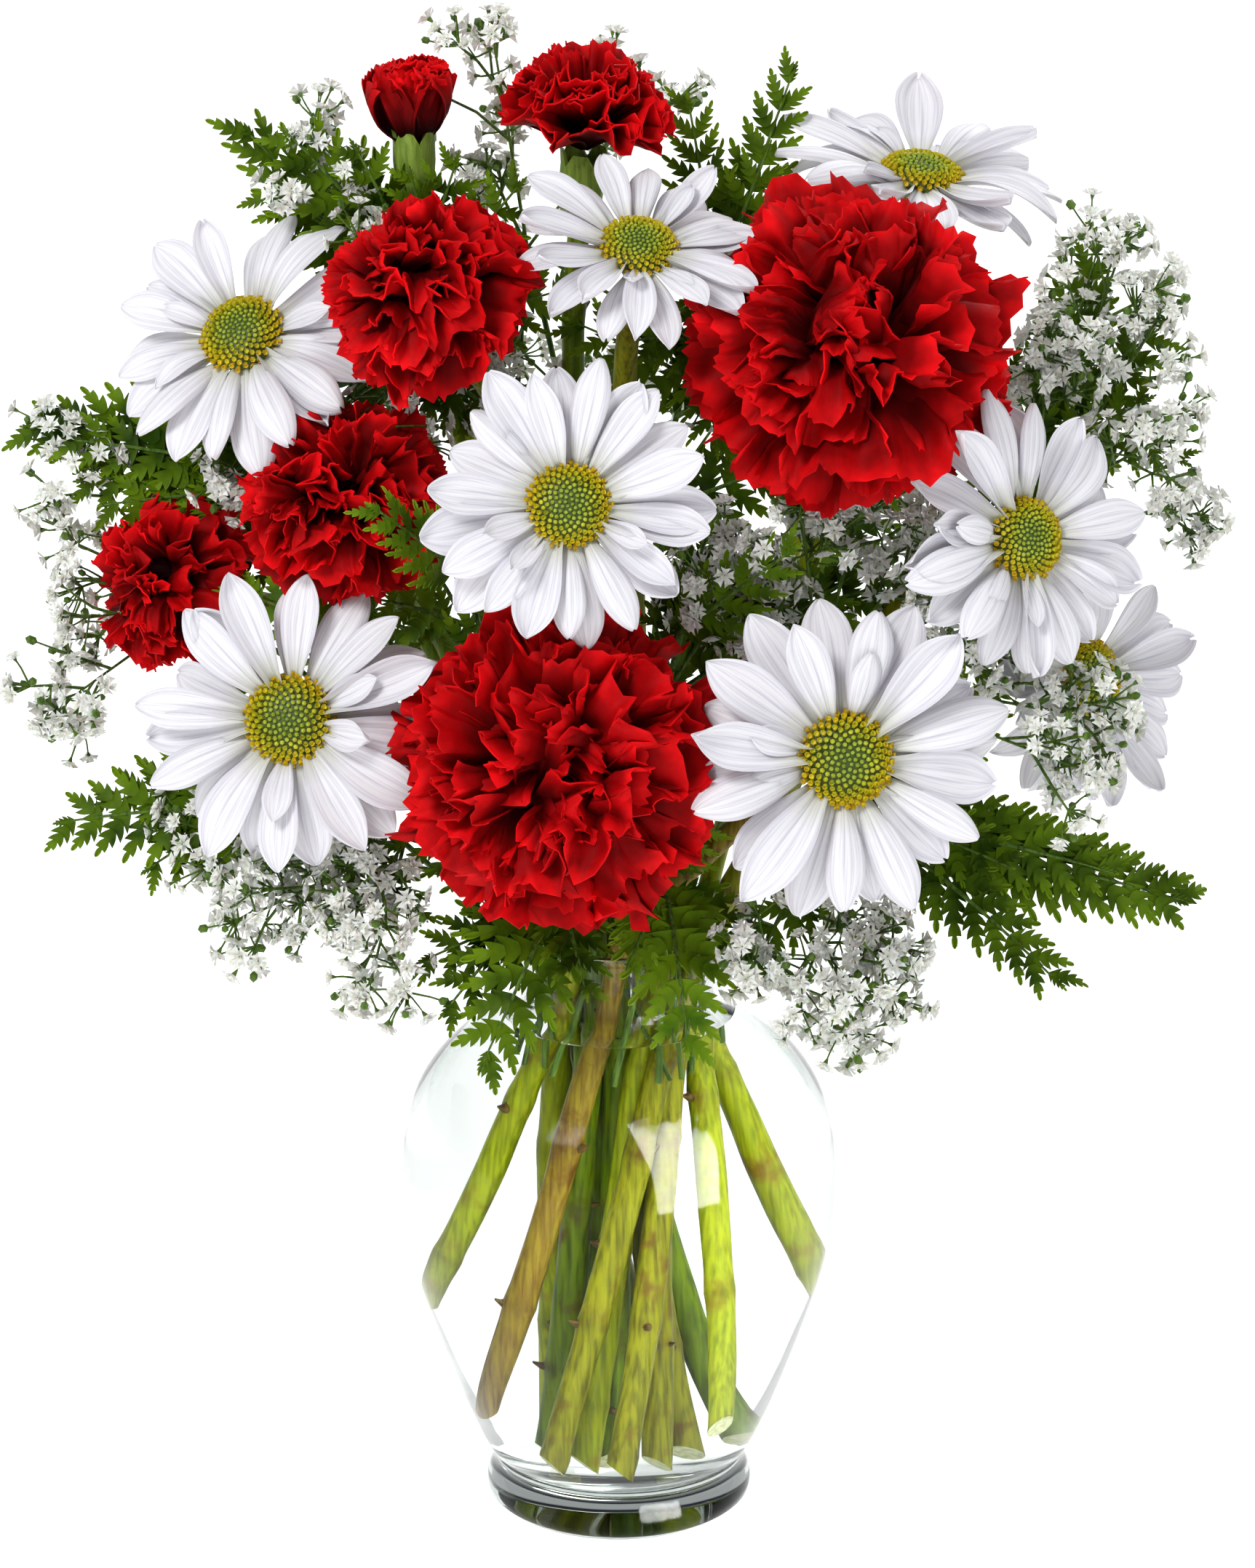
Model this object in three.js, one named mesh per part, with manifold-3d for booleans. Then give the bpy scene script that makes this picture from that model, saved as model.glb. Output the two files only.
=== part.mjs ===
// Red carnations in a clear glass vase of water, with white daisies, baby's breath
// and leatherleaf fern. Millimetres, +Z up. The origin is the centre of the vase's
// flat foot, and the bouquet's front faces -Y.

import * as THREE from "three";
import { ConvexGeometry } from "three/addons/geometries/ConvexGeometry.js";
import { mergeVertices } from "three/addons/utils/BufferGeometryUtils.js";
import Module from "manifold-3d";

const wasm = await Module();
wasm.setup();

// ---- driving dimensions ----

const GAP = 0.35; // clearance between neighbouring pieces
const BLADE = 0.8; // thickness of petals and leaflets
const FINEST = 0.08; // smaller steps than this are evened out

const VASE_SIDES = 18;
const WALL = 2.3;
const FLOOR = 12; // top of the solid glass foot
const WATER_LEVEL = 141;

// the vase's outer wall from its foot to its lip, [radius, height]
const VASE_OUTER = [
  [34.8, 0], [36.8, 2], [36.8, 6.5], [34.5, 11.5], [38.2, 18.6], [45.6, 36.2],
  [54.7, 62.5], [58.9, 80], [59.9, 97], [58.2, 110.5], [54.2, 122], [46, 132.5],
  [31.6, 144], [28.2, 149], [28.8, 155], [36.2, 167], [36.9, 168.4], [36.3, 169.4],
];
const INNER_FROM = 4; // the first point of the outer wall that the inner wall follows

const STEM_RADIUS = 3;
const STEM_SIDES = 5;
const STEM_STEPS = 9;
const STALK_RADIUS = 0.95; // thin stalks of fern and baby's breath
const STALK_SIDES = 3;
const STALK_STEPS = 5;
const STEM_END = 15.6; // height of the cut stem ends
const STALK_END = 126;
const WAIST = 138; // height where the stems are gathered closest
const TWIST = 80; // degrees that a stem turns round the axis, from its end to the waist

// radius of each ring of stems at the cut ends and at the waist, and the height of the
// cut ends of shorter stems, which lean on the glass
const RINGS = {
  middle: { end: 4, waist: 0.5, height: STEM_END },
  inner: { end: 14, waist: 8, height: STEM_END },
  outer: { end: 26, waist: 16, height: STEM_END },
  short: { end: 34, waist: 16, height: 28 },
  side: { end: 44, waist: 16, height: 54 },
  stalks: { end: 24, waist: 22.4, height: STALK_END },
};

// Each bloom: middle of its visible head, the way it faces, radius of the head,
// the ring and angle in degrees where its stem passes the waist.
// spread is the angle in degrees of the lowest petals above the head's rim plane.
const CARNATIONS = [
  {
    at: [-53, 2, 388], face: [0, -0.1, 1],
    radius: 20, spread: 62, layers: 2, ring: "side", turn: 100,
  },
  {
    at: [-8, -2, 388], face: [0.08, -0.15, 1],
    radius: 25, spread: 32, layers: 3, ring: "middle", turn: 0,
  },
  {
    at: [-50, -40, 351], face: [-0.4, -0.55, 0.75],
    radius: 27, spread: -2, layers: 4, ring: "inner", turn: 130,
  },
  {
    at: [59, -52, 340], face: [0.05, -0.8, 0.6],
    radius: 41, spread: -6, layers: 5, ring: "inner", turn: 345,
  },
  {
    at: [-71, -38, 296], face: [-0.3, -0.75, 0.6],
    radius: 28, spread: -2, layers: 4, ring: "inner", turn: 200,
  },
  {
    at: [-119, -10, 266], face: [-0.75, -0.6, 0.35],
    radius: 24, spread: -2, layers: 4, ring: "outer", turn: 180,
  },
  {
    at: [-15, -78, 236], face: [0, -0.95, 0.22],
    radius: 41, spread: -6, layers: 5, ring: "side", turn: 260,
  },
];

const DAISIES = [
  { at: [-97, -13, 332], face: [-0.28, -0.68, 0.68], radius: 39, disc: 11, ring: "outer", turn: 140 },
  { at: [5, -42, 360], face: [0.1, -0.55, 0.84], radius: 34, disc: 10, ring: "inner", turn: 57 },
  { at: [80, 23, 367], face: [0.12, -0.25, 0.95], radius: 41, disc: 11, ring: "short", turn: 60 },
  { at: [-12, -78, 303], face: [0, -0.95, 0.3], radius: 38, disc: 10.5, ring: "inner", turn: 272 },
  { at: [102, -60, 290], face: [0.52, -0.8, 0.3], radius: 38, disc: 10.5, ring: "outer", turn: 340 },
  { at: [-84, -55, 241], face: [-0.18, -0.93, 0.32], radius: 42, disc: 11.5, ring: "outer", turn: 220 },
  { at: [57, -80, 238], face: [0.12, -0.97, 0.2], radius: 43, disc: 12, ring: "short", turn: 300 },
  { at: [123, -16, 241], face: [0.62, -0.74, 0.27], radius: 37, disc: 10.5, ring: "outer", turn: 20 },
];

// Each fern frond: the waist angle of its stalk, where its blades spring from, and
// for each blade its tip, its half width, its pairs of leaflets and how far it arches.
const FERNS = [
  { turn: 150, root: [-56, 24, 332], blades: [{ tip: [-99, 10, 384], half: 17, pairs: 5, arch: 5 }] },
  {
    turn: 95,
    root: [26, 26, 338],
    blades: [
      { tip: [18, 12, 391], half: 12, pairs: 4, arch: 3, bare: 0.2 },
      { tip: [47, 34, 396], half: 12, pairs: 4, arch: 4, bare: 0.25 },
    ],
  },
  { turn: 165, root: [-104, 14, 296], blades: [{ tip: [-158, 6, 304], half: 20, pairs: 5, arch: 6 }] },
  { turn: 205, root: [-98, -22, 208], blades: [{ tip: [-149, -26, 204], half: 17, pairs: 5, arch: 6 }] },
  {
    turn: 15,
    root: [116, 16, 306],
    blades: [
      { tip: [149, 18, 332], half: 16, pairs: 4, arch: 4, bare: 0.22 },
      { tip: [155, 4, 294], half: 12, pairs: 4, arch: 3, bare: 0.25 },
    ],
  },
  {
    turn: 335,
    root: [70, -18, 199],
    blades: [
      { tip: [155, -14, 178], half: 17, pairs: 5, arch: 9, bare: 0.22 },
      { tip: [117, -46, 165], half: 12, pairs: 4, arch: 7, bare: 0.22 },
    ],
  },
  { turn: 245, root: [-16, -44, 190], blades: [{ tip: [-36, -72, 151], half: 21, pairs: 5, arch: 8 }] },
  { turn: 285, root: [12, -46, 193], blades: [{ tip: [18, -74, 156], half: 21, pairs: 5, arch: 8 }] },
  { turn: 230, root: [-42, -44, 277], blades: [{ tip: [-62, -80, 304], half: 13, pairs: 4, arch: 3 }] },
  { turn: 315, root: [16, -48, 262], blades: [{ tip: [46, -62, 289], half: 14, pairs: 4, arch: 3 }] },
  {
    turn: 120,
    root: [-40, 40, 236],
    blades: [
      { tip: [-94, 74, 292], half: 24, pairs: 4, arch: 9, bare: 0.25 },
      { tip: [-66, 84, 208], half: 20, pairs: 4, arch: 9, bare: 0.3 },
    ],
  },
  {
    turn: 60,
    root: [38, 42, 236],
    blades: [
      { tip: [90, 76, 290], half: 24, pairs: 4, arch: 9, bare: 0.25 },
      { tip: [62, 86, 206], half: 20, pairs: 4, arch: 9, bare: 0.3 },
    ],
  },
];

// Each spray of baby's breath: the waist angle of its stalk, where it forks, and the
// clouds of florets, each with its middle, its reach and its number of florets.
const SPRAYS = [
  {
    turn: 105,
    fork: [-24, 16, 350],
    clouds: [{ at: [-30, 12, 390], reach: 17, florets: 6 }, { at: [0, 40, 378], reach: 14, florets: 4 }],
  },
  {
    turn: 135,
    fork: [-66, 10, 322],
    clouds: [{ at: [-76, 4, 366], reach: 15, florets: 5 }, { at: [-62, -2, 350], reach: 10, florets: 3 }],
  },
  {
    turn: 190,
    fork: [-112, 22, 252],
    clouds: [{ at: [-141, 8, 290], reach: 14, florets: 5 }, { at: [-141, -14, 238], reach: 12, florets: 5 }],
  },
  {
    turn: 225,
    fork: [-56, -40, 203],
    clouds: [{ at: [-86, -46, 190], reach: 16, florets: 6 }, { at: [-62, -54, 180], reach: 13, florets: 4 }],
  },
  { turn: 320, fork: [44, -40, 186], clouds: [{ at: [56, -54, 168], reach: 15, florets: 6 }] },
  {
    turn: 30,
    fork: [112, 14, 280],
    clouds: [{ at: [128, 8, 338], reach: 17, florets: 6 }, { at: [146, 2, 281], reach: 9, florets: 4 }],
  },
  {
    turn: 325,
    fork: [52, -38, 250],
    clouds: [{ at: [48, -48, 284], reach: 13, florets: 5 }, { at: [109, -56, 232], reach: 13, florets: 5 }],
  },
  {
    turn: 85,
    fork: [4, 48, 262],
    clouds: [{ at: [-34, 66, 318], reach: 20, florets: 5 }, { at: [40, 68, 310], reach: 20, florets: 5 }],
  },
];
const FLORET_RADIUS = 2.8;

// ---- small helpers ----

const vec = (x, y, z) => new THREE.Vector3(x, y, z);
const radians = THREE.MathUtils.degToRad;
const polar = (radius, degrees, z) =>
  vec(radius * Math.cos(radians(degrees)), radius * Math.sin(radians(degrees)), z);

function seeded(seed) {
  let state = seed;
  return () => {
    state = (state * 1664525 + 1013904223) % 4294967296;
    return state / 4294967296;
  };
}

// a frame at a place, with Z along the facing direction and Y as far upright as it can be
function standAt(at, face) {
  const z = vec(...face).normalize();
  const x = vec(0, 0.3, 0.95).cross(z).normalize();
  const y = z.clone().cross(x);
  return new THREE.Matrix4().makeBasis(x, y, z).setPosition(...at);
}

// the piece as a solid: one closed mesh with merged corners, its faces turned out
function solidOf(geometry) {
  const bare = geometry.index ? geometry.clone() : mergeVertices(geometry);
  bare.deleteAttribute("normal");
  bare.deleteAttribute("uv");
  const merged = mergeVertices(bare, 1e-4);
  const vertProperties = new Float32Array(merged.attributes.position.array);
  let triVerts = Uint32Array.from(merged.index.array);
  triVerts = withoutSlivers(triVerts);
  if (signedVolume(vertProperties, triVerts) < 0) {
    triVerts.reverse();
  }
  return new wasm.Manifold(new wasm.Mesh({ numProp: 3, vertProperties, triVerts }));
}

function withoutSlivers(triVerts) {
  const kept = [];
  for (let i = 0; i < triVerts.length; i += 3) {
    const [a, b, c] = triVerts.slice(i, i + 3);
    if (a !== b && b !== c && c !== a) {
      kept.push(a, b, c);
    }
  }
  return Uint32Array.from(kept);
}

function signedVolume(positions, triangles) {
  let volume = 0;
  const corner = (i) => vec(...positions.slice(3 * triangles[i], 3 * triangles[i] + 3));
  for (let i = 0; i < triangles.length; i += 3) {
    volume += corner(i).dot(corner(i + 1).cross(corner(i + 2))) / 6;
  }
  return volume;
}

function geometryOf(solid) {
  const mesh = largestBody(solid.simplify(FINEST)).getMesh();
  const geometry = new THREE.BufferGeometry();
  geometry.setAttribute("position", new THREE.BufferAttribute(mesh.vertProperties, 3));
  geometry.setIndex(new THREE.BufferAttribute(mesh.triVerts, 1));
  geometry.computeVertexNormals();
  return geometry;
}

// the largest body of a solid, without loose scraps or hollows that joining sealed
function largestBody(solid) {
  return solid.decompose().reduce((best, body) => (body.volume() > best.volume() ? body : best));
}

function joined(solids) {
  return solids.reduce((sum, solid) => sum.add(solid));
}

// a thin blade: the sheet's points moved half the thickness to both sides, split into
// the same triangles on both faces and closed round the rim
function blade(points, triangles, thickness = BLADE) {
  const normals = points.map(() => vec(0, 0, 0));
  for (const corners of triangles) {
    const [a, b, c] = corners.map((i) => points[i]);
    const normal = b.clone().sub(a).cross(c.clone().sub(a));
    corners.forEach((i) => normals[i].add(normal));
  }
  const half = thickness / 2;
  const upper = points.map((p, i) => p.clone().addScaledVector(normals[i].normalize(), half));
  const lower = points.map((p, i) => p.clone().addScaledVector(normals[i], -half));
  const n = points.length;
  const index = [];
  const edges = new Set();
  for (const [a, b, c] of triangles) {
    index.push(a, b, c, n + c, n + b, n + a);
    [[a, b], [b, c], [c, a]].forEach((edge) => edges.add(edge.join()));
  }
  for (const edge of edges) {
    const [a, b] = edge.split(",").map(Number);
    if (!edges.has(`${b},${a}`)) {
      index.push(b, a, n + a, b, n + a, n + b);
    }
  }
  const geometry = new THREE.BufferGeometry().setFromPoints([...upper, ...lower]);
  geometry.setIndex(index);
  return solidOf(geometry);
}

// ---- vase and water ----

// an open profile moved sideways, away from the axis for a positive distance
function offsetProfile(profile, distance) {
  return profile.map(([r, z], i) => {
    const before = profile[Math.max(i - 1, 0)];
    const after = profile[Math.min(i + 1, profile.length - 1)];
    const along = new THREE.Vector2(after[0] - before[0], after[1] - before[1]).normalize();
    return [r + distance * along.y, z - distance * along.x];
  });
}

function profileRadius(profile, z) {
  const upper = profile.findIndex((point, i) => i > 0 && point[1] >= z);
  const [r0, z0] = profile[Math.max(upper, 1) - 1];
  const [r1, z1] = profile[Math.max(upper, 1)];
  return THREE.MathUtils.lerp(r0, r1, THREE.MathUtils.clamp((z - z0) / (z1 - z0), 0, 1));
}

function turned(profile, sides) {
  return new THREE.LatheGeometry(profile.map(([r, z]) => new THREE.Vector2(r, z)), sides)
    .rotateX(Math.PI / 2);
}

const innerWall = offsetProfile(VASE_OUTER, -WALL).slice(INNER_FROM, -2);
const bowl = [[0, FLOOR], [24, FLOOR + 0.8], [31.6, FLOOR + 3.4], ...innerWall.slice(1)];

function vaseSolid() {
  return solidOf(turned([[0, 0], ...VASE_OUTER, ...[...bowl].reverse()], VASE_SIDES));
}

// the water fills the bowl and leaves a plain hole round each stem
function waterSolid(lines) {
  const inside = offsetProfile(bowl, -1.2 * GAP);
  inside[0] = [0, FLOOR + GAP];
  const wet = inside.filter(([, z]) => z < WATER_LEVEL - 1);
  const top = profileRadius(inside, WATER_LEVEL);
  const body = solidOf(turned([...wet, [top, WATER_LEVEL], [0, WATER_LEVEL]], VASE_SIDES));
  const holes = lines.map((line) => tube(line, GAP));
  return largestBody(body.subtract(joined(holes)));
}

// ---- stem lines ----

class StemCurve extends THREE.CatmullRomCurve3 {
  getSpacedPoints() {
    return this.points;
  }
}

// a stem's line from its cut end, up round the axis to the waist, and out to its head
function stemLine({ ring, turn, head, lead, radius, sides, steps }) {
  const { end, waist, height } = RINGS[ring];
  const approach = head.clone().sub(lead);
  const course = new THREE.CatmullRomCurve3([
    polar(end, turn - TWIST * (WAIST - height) / (WAIST - STEM_END), height),
    polar(waist, turn, WAIST),
    polar(waist * 1.35, turn + 8, 166),
    approach.clone().addScaledVector(lead, -0.4),
    approach,
    head,
  ], false, "centripetal");
  return { points: course.getSpacedPoints(steps), radius, sides, height };
}

// shortest link between two straight pieces, as the two shares along them
function closestShares(p1, q1, p2, q2) {
  const d1 = q1.clone().sub(p1);
  const d2 = q2.clone().sub(p2);
  const r = p1.clone().sub(p2);
  const a = d1.dot(d1);
  const e = d2.dot(d2);
  const b = d1.dot(d2);
  const c = d1.dot(r);
  const f = d2.dot(r);
  const denominator = a * e - b * b;
  const clamp = THREE.MathUtils.clamp;
  let s = denominator > 1e-9 ? clamp((b * f - c * e) / denominator, 0, 1) : 0;
  const t = clamp((b * s + f) / e, 0, 1);
  s = clamp((b * t - c) / a, 0, 1);
  return [s, t];
}

// moves a straight piece of a line by its two ends, by their shares; the head stays
function shift(line, i, share, move) {
  const last = line.points.length - 2;
  if (i < last) {
    line.points[i].addScaledVector(move, 1 - share);
  }
  if (i + 1 < last) {
    line.points[i + 1].addScaledVector(move, share);
  }
}

function pushApart(one, two) {
  const room = one.radius + two.radius + 2.6 * GAP;
  for (let i = 0; i + 1 < one.points.length; i++) {
    for (let j = 0; j + 1 < two.points.length; j++) {
      const [p1, q1] = [one.points[i], one.points[i + 1]];
      const [p2, q2] = [two.points[j], two.points[j + 1]];
      if (Math.abs(p1.z + q1.z - p2.z - q2.z) > 120) {
        continue;
      }
      const [s, t] = closestShares(p1, q1, p2, q2);
      const link = p1.clone().lerp(q1, s).sub(p2.clone().lerp(q2, t));
      const gap = link.length();
      if (gap < room) {
        link.setLength((room - gap) * 0.55 + 0.02);
        shift(one, i, s, link);
        shift(two, j, t, link.negate());
      }
    }
  }
}

// keeps a line out of the flattened ball round a head that it passes
function pushOut(line, head) {
  for (let i = 0; i + 1 < line.points.length; i++) {
    for (const share of [0, 0.33, 0.67]) {
      const place = line.points[i].clone().lerp(line.points[i + 1], share);
      const local = place.applyMatrix4(head.inverse);
      const size = vec(head.wide + line.radius, head.wide + line.radius, head.deep + line.radius);
      const depth = local.clone().divide(size).length();
      if (depth < 1) {
        const step = local.clone().divide(size).divide(size).normalize();
        step.multiplyScalar((1 - depth) * head.deep * 0.5).transformDirection(head.matrix);
        step.multiplyScalar((1 - depth) * head.deep * 0.5);
        shift(line, i, share, step);
      }
    }
  }
}

function keepInVase(line) {
  const top = bowl[bowl.length - 1][1];
  for (let i = 0; i + 1 < line.points.length; i++) {
    for (const share of [0, 0.25, 0.5, 0.75]) {
      const place = line.points[i].clone().lerp(line.points[i + 1], share);
      if (place.z > top + 3) {
        continue;
      }
      const limit = profileRadius(bowl, place.z) * 0.985 - line.radius - 2.6 * GAP;
      const reach = Math.hypot(place.x, place.y);
      if (reach > limit) {
        shift(line, i, share, vec(place.x, place.y, 0).setLength(limit - reach));
      }
    }
  }
}

// evens out a line's bends between its cut end and its head
function soften(line, amount) {
  const last = line.points.length - 2;
  for (let i = 1; i < last; i++) {
    const middle = line.points[i - 1].clone().add(line.points[i + 1]).multiplyScalar(0.5);
    line.points[i].lerp(middle, amount);
  }
}

// bends the stems clear of each other, of the heads and of the glass
function bendClear(lines, heads) {
  const rounds = 260;
  for (let round = 0; round < rounds; round++) {
    if (round < rounds * 0.7) {
      lines.forEach((line) => soften(line, 0.03));
    }
    lines.forEach((line, i) => {
      lines.slice(i + 1).forEach((other) => pushApart(line, other));
      heads.filter((head) => head.line !== line).forEach((head) => pushOut(line, head));
    });
    lines.forEach((line) => {
      keepInVase(line);
      line.points[0].z = line.height;
    });
  }
}

function tube(line, extra = 0) {
  const { points, radius, sides } = line;
  const section = new THREE.Shape();
  for (let i = 0; i < sides; i++) {
    const angle = (2 * Math.PI * (i + 0.5)) / sides;
    const grown = radius + extra * 1.3;
    section[i ? "lineTo" : "moveTo"](grown * Math.cos(angle), grown * Math.sin(angle));
  }
  section.closePath();
  const path = [...points];
  if (extra > 0) {
    path[0] = points[0].clone().lerp(points[1], -0.08);
  }
  const settings = { steps: path.length - 1, extrudePath: new StemCurve(path), bevelEnabled: false };
  return solidOf(new THREE.ExtrudeGeometry(section, settings));
}

// ---- carnations ----

const PETAL_WAVE = 0.075; // height of the ruffles, as a share of the head's radius
const PILLAR = 1.6; // radius of the middle that carries a carnation's layers of petals

// how far the calyx mouth lies behind the head's middle, and the calyx's own size
function carnationShape({ radius, spread }) {
  return {
    calyx: 3.4 + radius * 0.11,
    calyxLength: 9 + radius * 0.34,
    mouth: spread > 20 ? radius * 0.45 : radius * 0.3,
  };
}

// one layer of petals as a single ruffled blade on a small three-cornered base: notched
// between the petals, with a zigzag edge, and standing off the axis at its own angle
function petalLayer({ radius, rise, reach, count, start, random }) {
  const wave = radius * PETAL_WAVE;
  const place = (turn, length, bend, lift) => {
    const angle = rise - bend;
    const across = Math.cos(angle) * length - Math.sin(angle) * lift;
    const height = Math.sin(angle) * length + Math.cos(angle) * lift;
    return vec(across * Math.cos(turn), across * Math.sin(turn), height);
  };
  const points = [];
  for (let i = 0; i < 3; i++) {
    const turn = start + (i * 2 * Math.PI) / 3;
    points.push(vec(2.6 * PILLAR * Math.cos(turn), 2.6 * PILLAR * Math.sin(turn), 0));
  }
  const rim = 4 * count;
  const triangles = [[0, 1, 2]];
  const step = (2 * Math.PI) / count;
  for (let i = 0; i < count; i++) {
    const turn = start + (i + 0.5) * step;
    const far = reach * (1 + 0.07 * (random() - 0.5));
    const lean = 0.16 + 0.05 * (random() - 0.5);
    points.push(
      place(turn - step / 2, reach * 0.72, 0.05, wave * (i % 2 ? 0.5 : -0.5)),
      place(turn - step * 0.34, far * 0.97, lean, wave),
      place(turn, far, lean, -wave),
      place(turn + step * 0.34, far * 0.97, lean, wave),
    );
  }
  const nearest = (k) => Math.floor((3 * k) / rim + 0.5);
  for (let k = 0; k < rim; k++) {
    const [edge, next] = [3 + k, 3 + ((k + 1) % rim)];
    const base = nearest(k + 0.5) % 3;
    triangles.push([base, edge, next]);
    const following = nearest(k + 1.5) % 3;
    if (following !== base) {
      triangles.push([base, next, following]);
    }
  }
  return blade(points, triangles);
}

// the red head in its own frame, with the calyx mouth at the origin
function carnationHead(spec, number) {
  const random = seeded(100 + number);
  const { radius, spread, layers } = spec;
  const closed = spread > 20;
  const base = 0.08 * radius;
  const top = (closed ? 0.2 : 0.36) * radius;
  const solids = [];
  for (let layer = 0; layer < layers; layer++) {
    const share = layer / (layers - 1);
    const rise = radians(THREE.MathUtils.lerp(closed ? 82 : 72, spread, share));
    const crowd = radius > 35 ? 9.2 : 7.8;
    const petals = petalLayer({
      radius,
      rise,
      reach: radius * (closed ? 1 : 1 - 0.3 * Math.sin(rise) ** 2),
      count: Math.max(3, Math.round(crowd * Math.cos(rise))),
      start: random() * 2 * Math.PI,
      random,
    });
    solids.push(petals.translate(0, 0, THREE.MathUtils.lerp(top, base, share)));
  }
  const pillar = new THREE.CylinderGeometry(PILLAR, PILLAR, top + 1 - GAP, 3, 1).rotateX(Math.PI / 2);
  solids.push(solidOf(pillar.translate(0, 0, (top + 1 + GAP) / 2)));
  return joined(solids);
}

// the green stem with the tube-shaped calyx that holds the petals
function carnationStem(spec, line, frame) {
  const { calyx, calyxLength } = carnationShape(spec);
  const cup = turned([
    [0, -calyxLength], [STEM_RADIUS * 0.9, -calyxLength], [calyx * 0.85, -calyxLength * 0.78],
    [calyx, 0], [0, 0],
  ], 6).applyMatrix4(frame);
  return tube(line).add(solidOf(cup));
}

// ---- daisies ----

const RAYS = 16; // ray petals of a daisy, every second one in the upper layer
const DISC_SIDES = 10;
const DISC_HEIGHT = 0.42; // height of the domed disc, as a share of its radius

// the white ray petals, cut down to their small common hub, in the head's own frame
function daisyHead({ radius, disc }, number, extra = 0) {
  const random = seeded(200 + number);
  const hub = disc * 0.88;
  const wide = radius * 0.16 + extra;
  const points = [vec(0, 0, 0)];
  const triangles = [];
  const step = (2 * Math.PI) / RAYS;
  for (let i = 0; i < RAYS; i++) {
    const slope = Math.tan(radians((i % 2 ? 13 : -2) + 3 * (random() - 0.5)));
    const length = radius * (1 - 0.1 * random());
    const turn = (i + 0.1 * (random() - 0.5)) * step;
    const place = (reach, across, droop) =>
      vec(reach, across, (reach - hub) * slope - droop).applyAxisAngle(vec(0, 0, 1), turn);
    const first = points.length;
    points.push(
      place(hub, -hub * step * 0.39, 0),
      place(hub, hub * step * 0.39, 0),
      place(length * 0.72, -wide, 0),
      place(length * 0.72, wide, 0),
      place(length + extra, 0, length * 0.05),
    );
    const [left, right, wideLeft, wideRight, tip] = [0, 1, 2, 3, 4].map((k) => first + k);
    const next = i + 1 < RAYS ? first + 5 : 1;
    triangles.push([0, left, right], [0, right, next]);
    triangles.push([left, wideRight, right], [left, wideLeft, wideRight], [wideLeft, tip, wideRight]);
  }
  return blade(points, triangles, BLADE + 2 * extra);
}

// the domed disc, its surface raised into a pattern of small florets
function daisyDisc({ disc }) {
  const bottom = BLADE / 2 + GAP;
  const rise = disc * DISC_HEIGHT;
  const profile = [[0, bottom], [disc * 0.82, bottom]];
  for (const degrees of [5, 30, 58]) {
    const angle = radians(degrees);
    profile.push([disc * Math.cos(angle), bottom + 1 + rise * Math.sin(angle)]);
  }
  profile.push([0, bottom + 1 + rise * 0.94]);
  const geometry = mergeVertices(bareCopy(turned(profile, DISC_SIDES)), 1e-4);
  const position = geometry.attributes.position;
  const corner = vec(0, 0, 0);
  for (let i = 0; i < position.count; i++) {
    corner.fromBufferAttribute(position, i);
    const radius = Math.hypot(corner.x, corner.y);
    if (corner.z > bottom + 1 && radius > 1) {
      const side = Math.round((Math.atan2(corner.y, corner.x) * DISC_SIDES) / (2 * Math.PI));
      const ring = radius > disc * 0.92 ? 0 : 1;
      corner.multiplyScalar((side + ring) % 2 ? 1.04 : 0.97);
      position.setXYZ(i, ...corner);
    }
  }
  return solidOf(geometry);
}

function bareCopy(geometry) {
  const copy = geometry.clone();
  copy.deleteAttribute("normal");
  copy.deleteAttribute("uv");
  return copy;
}

// the green stem with the shallow cup of bracts under the petals
function daisyStem({ disc }, line, frame) {
  const top = -BLADE / 2 - GAP;
  const cup = turned([
    [0, top - 7], [STEM_RADIUS * 0.8, top - 7], [disc * 0.6, top - 3.6], [disc * 0.8, top], [0, top],
  ], 6).applyMatrix4(frame);
  return tube(line).add(solidOf(cup));
}

// ---- fern and baby's breath ----

// one arched blade, its outline cut to the rib into pairs of toothed leaflets
function fernBlade(root, { tip, half, pairs, arch, bare = 0.04 }, extra = 0) {
  const end = vec(...tip);
  const along = end.clone().sub(root);
  const facing = vec(0.1, root.y < 30 ? -1 : 1, 0.45);
  const side = along.clone().cross(facing).normalize();
  const up = side.clone().cross(along).normalize();
  const place = (share, across) => root.clone()
    .addScaledVector(along, share)
    .addScaledVector(side, across)
    .addScaledVector(up, arch * 4 * share * (1 - share) - 0.12 * Math.abs(across));
  const points = [];
  const triangles = [];
  const rib = (share) => 0.9 + 0.7 * (1 - share) + extra;
  const shareOf = (row) => bare + ((1 - bare) * row) / (pairs + 0.6);
  for (let row = 0; row <= pairs; row++) {
    const share = row ? shareOf(row) : 0;
    points.push(place(share, -rib(share)), place(share, rib(share)));
  }
  const last = points.length;
  points.push(place(1, 0));
  triangles.push([last - 2, last, last - 1]);
  for (let row = 0; row < pairs; row++) {
    const share = shareOf(row);
    const [left, right] = [2 * row, 2 * row + 1];
    triangles.push([left, right + 2, right], [left, left + 2, right + 2]);
    const width = half * (row === 0 ? 0.8 : 1 - 0.75 * share) + extra;
    for (const sign of [-1, 1]) {
      const [near, far] = sign < 0 ? [left, left + 2] : [right, right + 2];
      const lean = 0.35 * (1 - bare);
      const shoulder = width * (row === 0 ? 0.9 : 0.62);
      points.push(place(share + lean * 0.25, sign * shoulder), place(share + lean * 0.75, sign * width));
      const [low, point] = [points.length - 2, points.length - 1];
      triangles.push(sign < 0 ? [near, low, point] : [near, point, low]);
      triangles.push(sign < 0 ? [near, point, far] : [near, far, point]);
    }
  }
  return blade(points, triangles.map(([a, b, c]) => [a, c, b]), BLADE + 2 * extra);
}

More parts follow.
